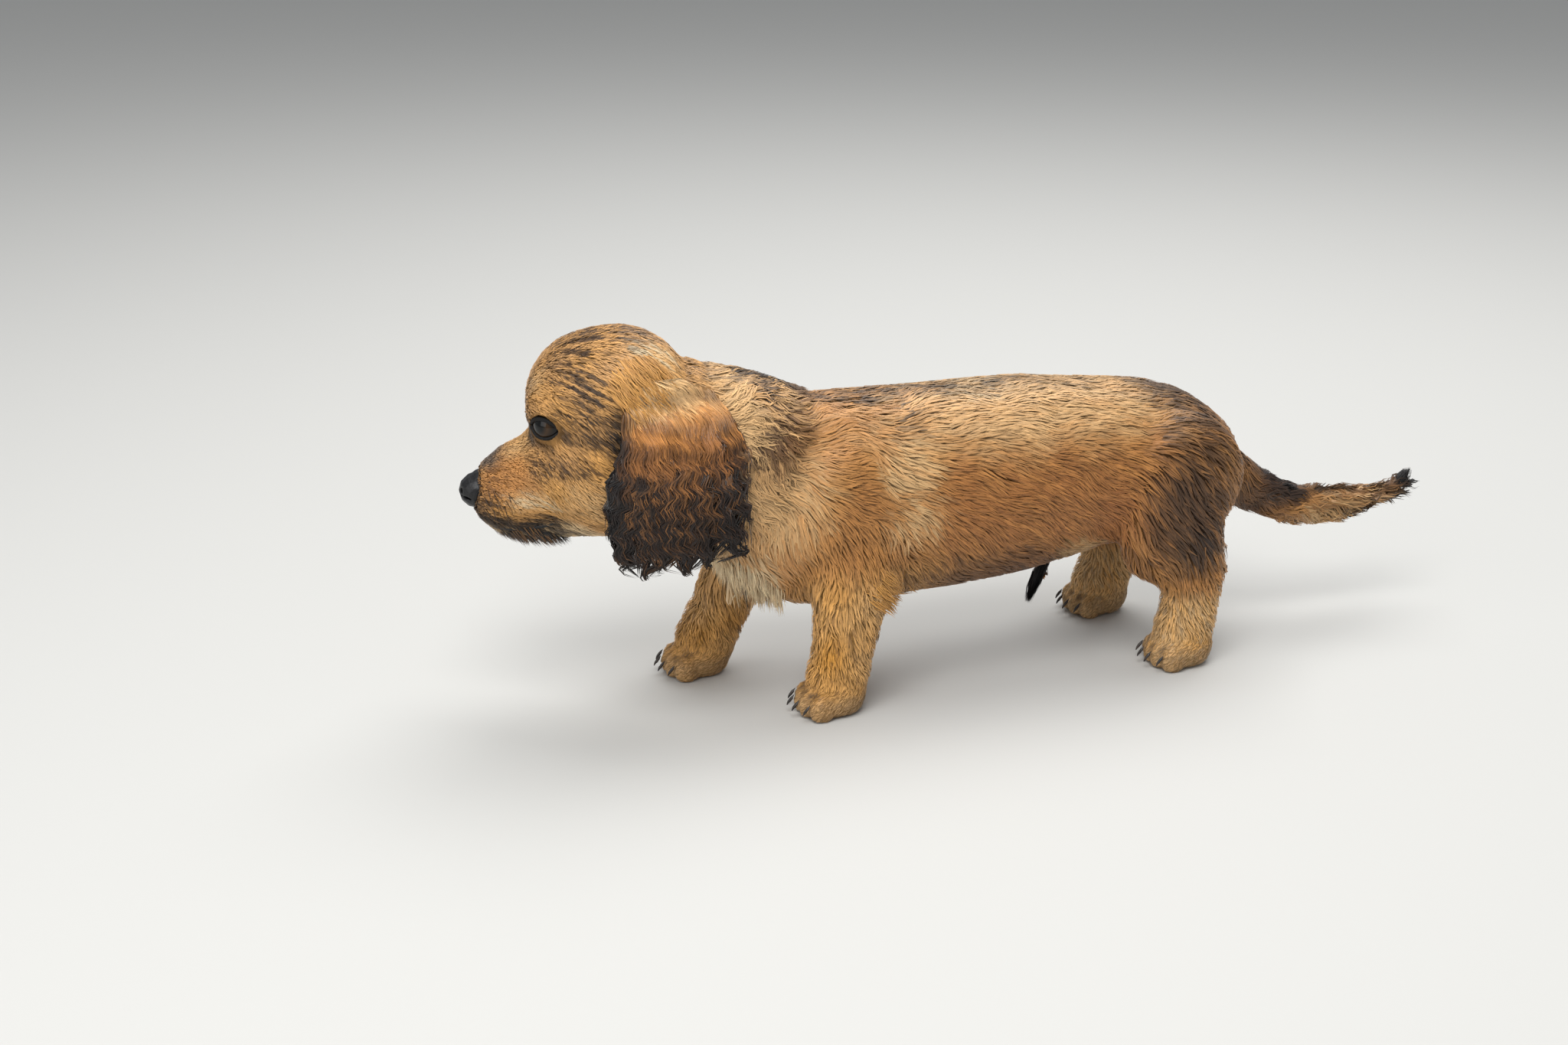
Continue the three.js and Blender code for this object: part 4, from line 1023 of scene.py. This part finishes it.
say("ears")
earMake = {"locks": 4200, "inner": 700, "rings": 5, "reach": 0.0021, "swell": 0.0105, "lift": 0.0019}
for side, sign in (("left", -1), ("right", 1)):
    ear = earSkins[side]
    points, normals = readPoints(ear.data), readPoints(ear.data, "normal")
    triangles = readTriangles(ear.data)
    tree = BVHTree.FromPolygons(points.tolist(), triangles.tolist())
    outward = headRight * sign
    chocolate = np.zeros((len(points), 3)) + hair["chocolate"]
    even = np.full(len(points), 0.5)
    addPaint(ear.data, layMarks(chocolate, inHead(points), earMarks, even, 300) * 0.7)
    for inner in (False, True):
        facing = normals @ outward
        mine = (facing < -0.1) if inner else (facing > -0.15)
        faces = triangles[mine[triangles].all(1)]
        count = int((earMake["inner"] if inner else earMake["locks"]) * coatShare)
        _, roots, rootNormals = sow(points, normals, faces, np.ones(len(points)), count)
        place = inHead(roots)
        fan = ramp(place[:, 0], -5, -66)[:, None]
        lie = -headUp + headForward * (0.12 - 0.45 * fan)
        top = ramp(place[:, 2], 8, 24)[:, None]
        lie = mix(lie, -headUp - headForward * 0.9 + outward * 0.4, top)
        lie = along(lie, rootNormals)
        turn = 0.35 * waves(roots * 1000, 24, 81) + 0.12 * waves(roots * 1000, 9, 82)
        lie = turned(lie, rootNormals, turn)
        n = len(roots)
        length = (8 + 10 * ramp(place[:, 2], 16, -8) - 6 * ramp(place[:, 2], -28, -52)) / 1000
        length = length * draw.uniform(0.75, 1.2, n) * (0.6 if inner else 1.0)
        sheafOf, sheafTip = gather(roots, lie, length, 14)
        sheafDraw = np.random.default_rng(6).random(n)[sheafOf]
        streakDraw = 0.6 * streaksAlong(roots, lie, 2.4, 91) + 0.4 * streaksAlong(roots, lie, 6, 92)
        streakDraw = np.clip(streakDraw + draw.normal(0, 0.12, n), 0, 1)
        low = ramp(place[:, 2], 12, -12)
        curl = {"reach": earMake["reach"] * (0.2 + 0.8 * low), "swell": np.full(n, earMake["swell"]),
                "lift": earMake["lift"] * low,
                "phase": 0.7 * sheafDraw + 2.0 * waves(roots * 1000, 30, 83) - place[:, 2] * 0.60}
        height = draw.uniform(0.0005, 0.0017, n) * (0.4 + 0.6 * low)
        grown = grow(tree, roots, rootNormals, lie, length, height, np.full(n, 0.6), curl,
                     earMake["rings"], draw.uniform(0.05, 0.35, n), sheafTip)
        color = layMarks(np.zeros((n, 3)) + hair["chocolate"], place, earMarks, streakDraw, 300)
        color = color * draw.uniform(0.8, 1.2, (n, 1)) * (0.85 + 0.3 * sheafDraw[:, None])
        color = color * (1 - 0.35 * ramp(place[:, 2], -6, -26))[:, None]
        width = draw.uniform(0.0007, 0.0012, n)
        patch = patchPlace(earUnwrap[side], roots)
        label = f"ear_{'lining' if inner else 'locks'}_{side}"
        # the ear's crimps get a strong painted highlight on their crests and painted shade in their troughs
        piece = tuftMesh(label, grown, width, color, patch, draw.random(n), 0.34, 0.5)
        finishPiece(piece, earHair)
    finishPiece(ear, hideFur, [f"ear_{side}"])

say("eyes")
# metres, but the lids' opening in mm; irisTurn points the iris forward
eyeMake = {"radius": 0.009, "irisTurn": 0.20, "lidRadius": 0.0009, "lidOut": 0.0005, "lidDrop": 0.0013,
           "long": 16.4, "high": 12.4}


def eyeWays(sign):
    gaze = unit(headForward * math.sqrt(1 - 0.84 ** 2) + headRight * sign * 0.84 + headUp * 0.06)
    rise = unit(headUp - headForward * 0.12 - gaze * ((headUp - headForward * 0.12) @ gaze))
    across = np.cross(rise, gaze)
    # runs from the front corner to the rear one
    if across @ headForward > 0:
        across = -across
    return gaze, rise, across


def bezier(a, b, c, d, steps):
    t = np.linspace(0, 1, steps, endpoint=False)[:, None]
    return (1 - t) ** 3 * a + 3 * (1 - t) ** 2 * t * b + 3 * (1 - t) * t ** 2 * c + t ** 3 * d


def almond():
    # the lids' opening: the front corner, over the upper lid to the rear corner, back under the lower lid
    corners = [(-0.5, -0.06), (-0.28, 0.62), (0.28, 0.66), (0.5, -0.02), (0.28, -0.56), (-0.26, -0.56)]
    a, b, c, d, e, f = np.array(corners) * [eyeMake["long"], eyeMake["high"]]
    return np.concatenate([bezier(a, b, c, d, 30), bezier(d, e, f, a, 30)])


def tube(name, path, radii, closed, sides=8):
    # a closed pipe of changing thickness along a path
    count = len(path)
    place, faces = [], []
    for i in range(count):
        ahead = path[(i + 1) % count] if closed or i < count - 1 else path[i]
        behind = path[i - 1] if closed or i > 0 else path[i]
        way = unit(ahead - behind)
        first = unit(np.cross(way, headUp + 0.01))
        second = np.cross(way, first)
        for j in range(sides):
            angle = 2 * math.pi * j / sides
            place.append(path[i] + (first * math.cos(angle) + second * math.sin(angle)) * radii[i])
    rounds = count if closed else count - 1
    for i in range(rounds):
        k = (i + 1) % count
        for j in range(sides):
            m = (j + 1) % sides
            faces.append((i * sides + j, i * sides + m, k * sides + m, k * sides + j))
    if not closed:
        faces.append(tuple(range(sides))[::-1])
        faces.append(tuple((count - 1) * sides + j for j in range(sides)))
    mesh = bpy.data.meshes.new(name)
    mesh.from_pydata([tuple(p) for p in place], [], faces)
    piece = bpy.data.objects.new(name, mesh)
    bpy.context.scene.collection.objects.link(piece)
    makeActive(piece)
    bpy.ops.object.mode_set(mode="EDIT")
    bpy.ops.mesh.select_all(action="SELECT")
    bpy.ops.mesh.normals_make_consistent(inside=False)
    bpy.ops.object.mode_set(mode="OBJECT")
    return piece


for side, sign in (("left", -1), ("right", 1)):
    gaze, rise, across = eyeWays(sign)
    middle = eyeMiddle[side]
    deselectAll()
    bpy.ops.mesh.primitive_uv_sphere_add(segments=96, ring_count=64, radius=eyeMake["radius"])
    ball = bpy.context.view_layer.objects.active
    ball.name = ball.data.name = f"eyeball_{side}"
    points = readPoints(ball.data)
    look = unit(gaze - across * eyeMake["irisTurn"] + rise * 0.04)
    # the cornea stands a little proud of the ball
    facing = unit(points) @ look
    points = points * (1 + 0.03 * ramp(facing, 0.72, 0.95))[:, None]
    addFloat(ball.data, "ring", np.arccos(np.clip(facing, -1, 1)) / (math.pi / 2))
    spin = np.arctan2(unit(points) @ rise, unit(points) @ across)
    spoke = np.stack([np.cos(spin) * 4, np.sin(spin) * 4, 0 * spin], axis=1)
    addFloat(ball.data, "spoke", spoke, "FLOAT_VECTOR")
    writePoints(ball.data, points + middle)
    finishPiece(ball, eyeWet, [f"eye_{side}"])
    line = almond() / 1000 * np.array([0.97, 0.95])
    upper = np.arange(len(line)) < len(line) // 2
    line[upper, 1] -= eyeMake["lidDrop"] * np.sin(np.linspace(0, math.pi, upper.sum()))
    swell = np.sin(np.arange(len(line)) / 30 * math.pi)
    thick = eyeMake["lidRadius"] * np.where(upper, 1.0 + 0.35 * swell, 0.9)
    far = eyeMake["radius"] + eyeMake["lidOut"]
    deep = np.sqrt(np.maximum(far ** 2 - (line ** 2).sum(1), 1e-8))
    path = middle + across * line[:, :1] + rise * line[:, 1:] + gaze * deep[:, None]
    lid = tube(f"lid_rim_{side}", path, thick, True)
    finishPiece(lid, lidHide)

# locks of their own: the middle of their roots (back, right, height; the beard's is forward, right, up
# in the head) and reach in mm, their lie, length in mm, how far they run to one point, and their hair

say("single locks")
lockMakes = {
    "sheath_tuft": {"at": (142, 0, 52), "reach": 5, "count": 300, "way": (-0.55, 0, -1.0),
                    "long": 25, "hair": "black", "point": 0.92, "slot": "coat_dark"},
    "tail_wisp": {"at": (348, 0, 68), "reach": 8, "count": 260, "way": (0.45, 0, 1.0),
                  "long": 11, "hair": "black", "point": 0.6, "slot": "coat_dark"},
    "elbow_fringe_left": {"at": (31, -40, 64), "reach": 11, "count": 260, "way": (0.9, -0.1, -0.6),
                          "long": 11, "hair": "legGold", "point": 0.1, "slot": "coat_gold"},
    "elbow_fringe_right": {"at": (-16, 40, 64), "reach": 11, "count": 260, "way": (0.9, 0.1, -0.6),
                           "long": 11, "hair": "legGold", "point": 0.1, "slot": "coat_gold"},
    "chest_fringe": {"at": (-22, -4, 70), "reach": 24, "count": 1100, "way": (0.25, 0, -1.0),
                     "long": 13, "hair": "cream", "point": 0.0, "slot": "coat_tan"},
    "ear_cover_left": {"at": (-76, -16, 170), "reach": 15, "count": 700, "way": (0.5, -0.75, -0.55),
                       "long": 15, "hair": "legGold", "point": 0.0, "slot": "coat_tan"},
    "ear_cover_right": {"at": (-62, 36, 170), "reach": 15, "count": 700, "way": (0.5, 0.75, -0.55),
                        "long": 15, "hair": "legGold", "point": 0.0, "slot": "coat_tan"},
    "chin_beard": {"at": (40, 0, -56), "reach": 19, "count": 900, "way": (0.9, -0.1, -0.75),
                   "long": 8.0, "hair": "black", "point": 0.0, "slot": "coat_tan"},
}
points, normals = readPoints(skin.data), readPoints(skin.data, "normal")
triangles = readTriangles(skin.data)
for name, make in lockMakes.items():
    at = fromHead(*make["at"]) if name == "chin_beard" else trunkPlace + np.array(make["at"]) / 1000
    near = np.linalg.norm(points - at, axis=1) < make["reach"] / 1000
    while near.sum() < 60:
        at = points[np.argmin(np.linalg.norm(points - at, axis=1))]
        near = np.linalg.norm(points - at, axis=1) < make["reach"] / 1000
    faces = triangles[near[triangles].all(1)]
    _, roots, rootNormals = sow(points, normals, faces, np.ones(len(points)), make["count"])
    n = len(roots)
    way = np.array(make["way"])
    lie = unit(way + rootNormals * 0.15 + draw.normal(0, 0.08, (n, 3)))
    length = make["long"] / 1000 * draw.uniform(0.6, 1.1, n)
    tip = at + unit(way) * make["long"] / 1000
    sheafTip = mix(gather(roots, lie, length, 16)[1], tip, make["point"])
    curl = {"reach": length * 0.05, "swell": np.full(n, 0.012), "lift": 0.0,
            "phase": 3 * waves(roots * 1000, 12, 12)}
    grown = grow(skinTree, roots, rootNormals, lie, length, np.full(n, 0.0004), np.full(n, 0.05), curl, 3,
                 np.full(n, 0.4 + 0.55 * make["point"]), sheafTip)
    streakDraw = np.clip(streaksAlong(roots, lie, 2.4, 71) + draw.normal(0, 0.15, n), 0, 1)
    # the loose locks carry some golden strands
    golden = 0.4 * (streakDraw > 0.6)[:, None] * (make["point"] < 0.5)
    color = mix(hair[make["hair"]], hair["gold"], golden)
    color = color * draw.uniform(0.75, 1.15, (n, 1))
    # the last but one argument gives a faint painted highlight on the locks' wave crests
    piece = tuftMesh(name, grown, draw.uniform(0.0005, 0.0008, n), color, patchPlace(skinUnwrap, roots),
                     draw.random(n), 0.05, 0.5)
    finishPiece(piece, bodyHair)

say("nose, lips and claws")
# the mouth's line from the nose to its corner, in mm forward and up in the head
lipLine = [(70, -43), (60, -44.5), (50, -46.5), (38, -47.5), (27, -45), (20, -41)]
whiskerMake = {"count": 16, "shortest": 0.008, "longest": 0.015, "root": 0.00016, "tip": 0.00005}


def onSide(f, sign, u):
    # the head's side at this place, seen from outside, or None
    return skinTree.ray_cast(Vector(fromHead(f, sign * 40, u)), Vector(-headRight * sign), 0.04)[0]


steps = np.linspace(0, len(lipLine) - 1, 26)
ahead, rise = [np.interp(steps, range(len(lipLine)), [p[i] for p in lipLine]) for i in (0, 1)]
for side, sign in (("left", -1), ("right", 1)):
    hits = [onSide(f, sign, u) for f, u in zip(ahead, rise)]
    path = np.array([np.array(hit) + headRight * sign * 0.0002 for hit in hits if hit is not None])
    width = 0.0011 * np.sin(np.linspace(0.25, 2.9, len(path))) ** 0.5
    lip = tube(f"lip_{side}", path, width, False)
    finishPiece(lip, lipHide)

whiskers = []
for sign in (-1, 1):
    for _ in range(whiskerMake["count"]):
        f, u = draw.uniform(44, 58), draw.uniform(-40, -27)
        hit = onSide(f, sign, u)
        if hit is None:
            continue
        root = np.array(hit)
        back, fall = draw.uniform(0.2, 0.9), draw.uniform(0.1, 0.9)
        way = unit(headRight * sign - headForward * back - headUp * fall)
        long = draw.uniform(whiskerMake["shortest"], whiskerMake["longest"])
        bend = [root + way * long * s - headUp * 0.003 * s * s for s in np.linspace(-0.05, 1, 6)]
        thick = np.linspace(whiskerMake["root"], whiskerMake["tip"], 6)
        whiskers.append(tube("whisker", np.array(bend), thick, False, 5))
deselectAll()
for piece in whiskers:
    piece.select_set(True)
bpy.context.view_layer.objects.active = whiskers[0]
bpy.ops.object.join()
whiskers[0].name = whiskers[0].data.name = "whiskers"
finishPiece(whiskers[0], lipHide)

nose = copyOfNodes("nose_leather", ["nose"])
noseMake = {"voxel": 0.00045, "evenRounds": 4}
applyModifier(nose, "REMESH", mode="VOXEL", voxel_size=noseMake["voxel"])
writePoints(nose.data, spread(readPoints(nose.data), readEdges(nose.data), noseMake["evenRounds"]))
finishPiece(nose, noseHide, ["nose"])

clawNodes = [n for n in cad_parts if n.startswith("claw_")]
clawSet = copyOfNodes("claws", clawNodes)
applyModifier(clawSet, "SUBSURF", levels=1, render_levels=1)
finishPiece(clawSet, clawHorn, clawNodes)

# floor, light and camera

say("floor, light and camera")
deselectAll()
bpy.ops.mesh.primitive_plane_add(size=12, location=(0, 0, 0))
floor = bpy.context.view_layer.objects.active
floor.name = "floor"
floorPaint, _, floorShader = newMaterial("matt paper floor")
# pale and without gloss, so the coat's outline and the paws' shadows read
setInputs(floorShader, {"Base Color": shade("#c6c5c1"), "Roughness": 0.9})
floor.data.materials.append(floorPaint)
floor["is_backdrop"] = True

world = bpy.data.worlds.new("studio")
bpy.context.scene.world = world
world.use_nodes = True
setInputs(world.node_tree.nodes["Background"], {"Color": (0.93, 0.96, 1.0, 1), "Strength": 0.40})

lightMake = {
    "key": {"at": (-0.5, -0.8, 1.5), "size": 0.9, "power": 20.5},
    "top": {"at": (0.4, 0.5, 1.5), "size": 1.2, "power": 20.5},
    "fill": {"at": (-1.4, -0.5, 0.6), "size": 1.0, "power": 5},
}
for name, make in lightMake.items():
    lamp = bpy.data.lights.new(name, "AREA")
    lamp.size = make["size"]
    lamp.energy = make["power"]
    holder = bpy.data.objects.new(name, lamp)
    bpy.context.scene.collection.objects.link(holder)
    holder.location = make["at"]
    holder.rotation_euler = (Vector((0, 0, 0.08)) - Vector(make["at"])).to_track_quat("-Z", "Y").to_euler()

cameraMake = {"at": (-0.42225, -0.9364, 0.4455), "way": (0.3059, 0.8885, -0.3420), "lens": 50.2}
camera = bpy.data.objects.new("camera", bpy.data.cameras.new("camera"))
bpy.context.scene.collection.objects.link(camera)
camera.location = cameraMake["at"]
camera.rotation_euler = Vector(cameraMake["way"]).to_track_quat("-Z", "Y").to_euler()
camera.data.lens = cameraMake["lens"]
camera.data.sensor_width = 36
bpy.context.scene.camera = camera

# shows the hair's colours as they are
bpy.context.scene.view_settings.view_transform = "Standard"

low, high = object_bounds()
total = sum(len(o.data.loop_triangles) or len(o.data.polygons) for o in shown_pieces() if o.type == "MESH")
print("faces in all", total)
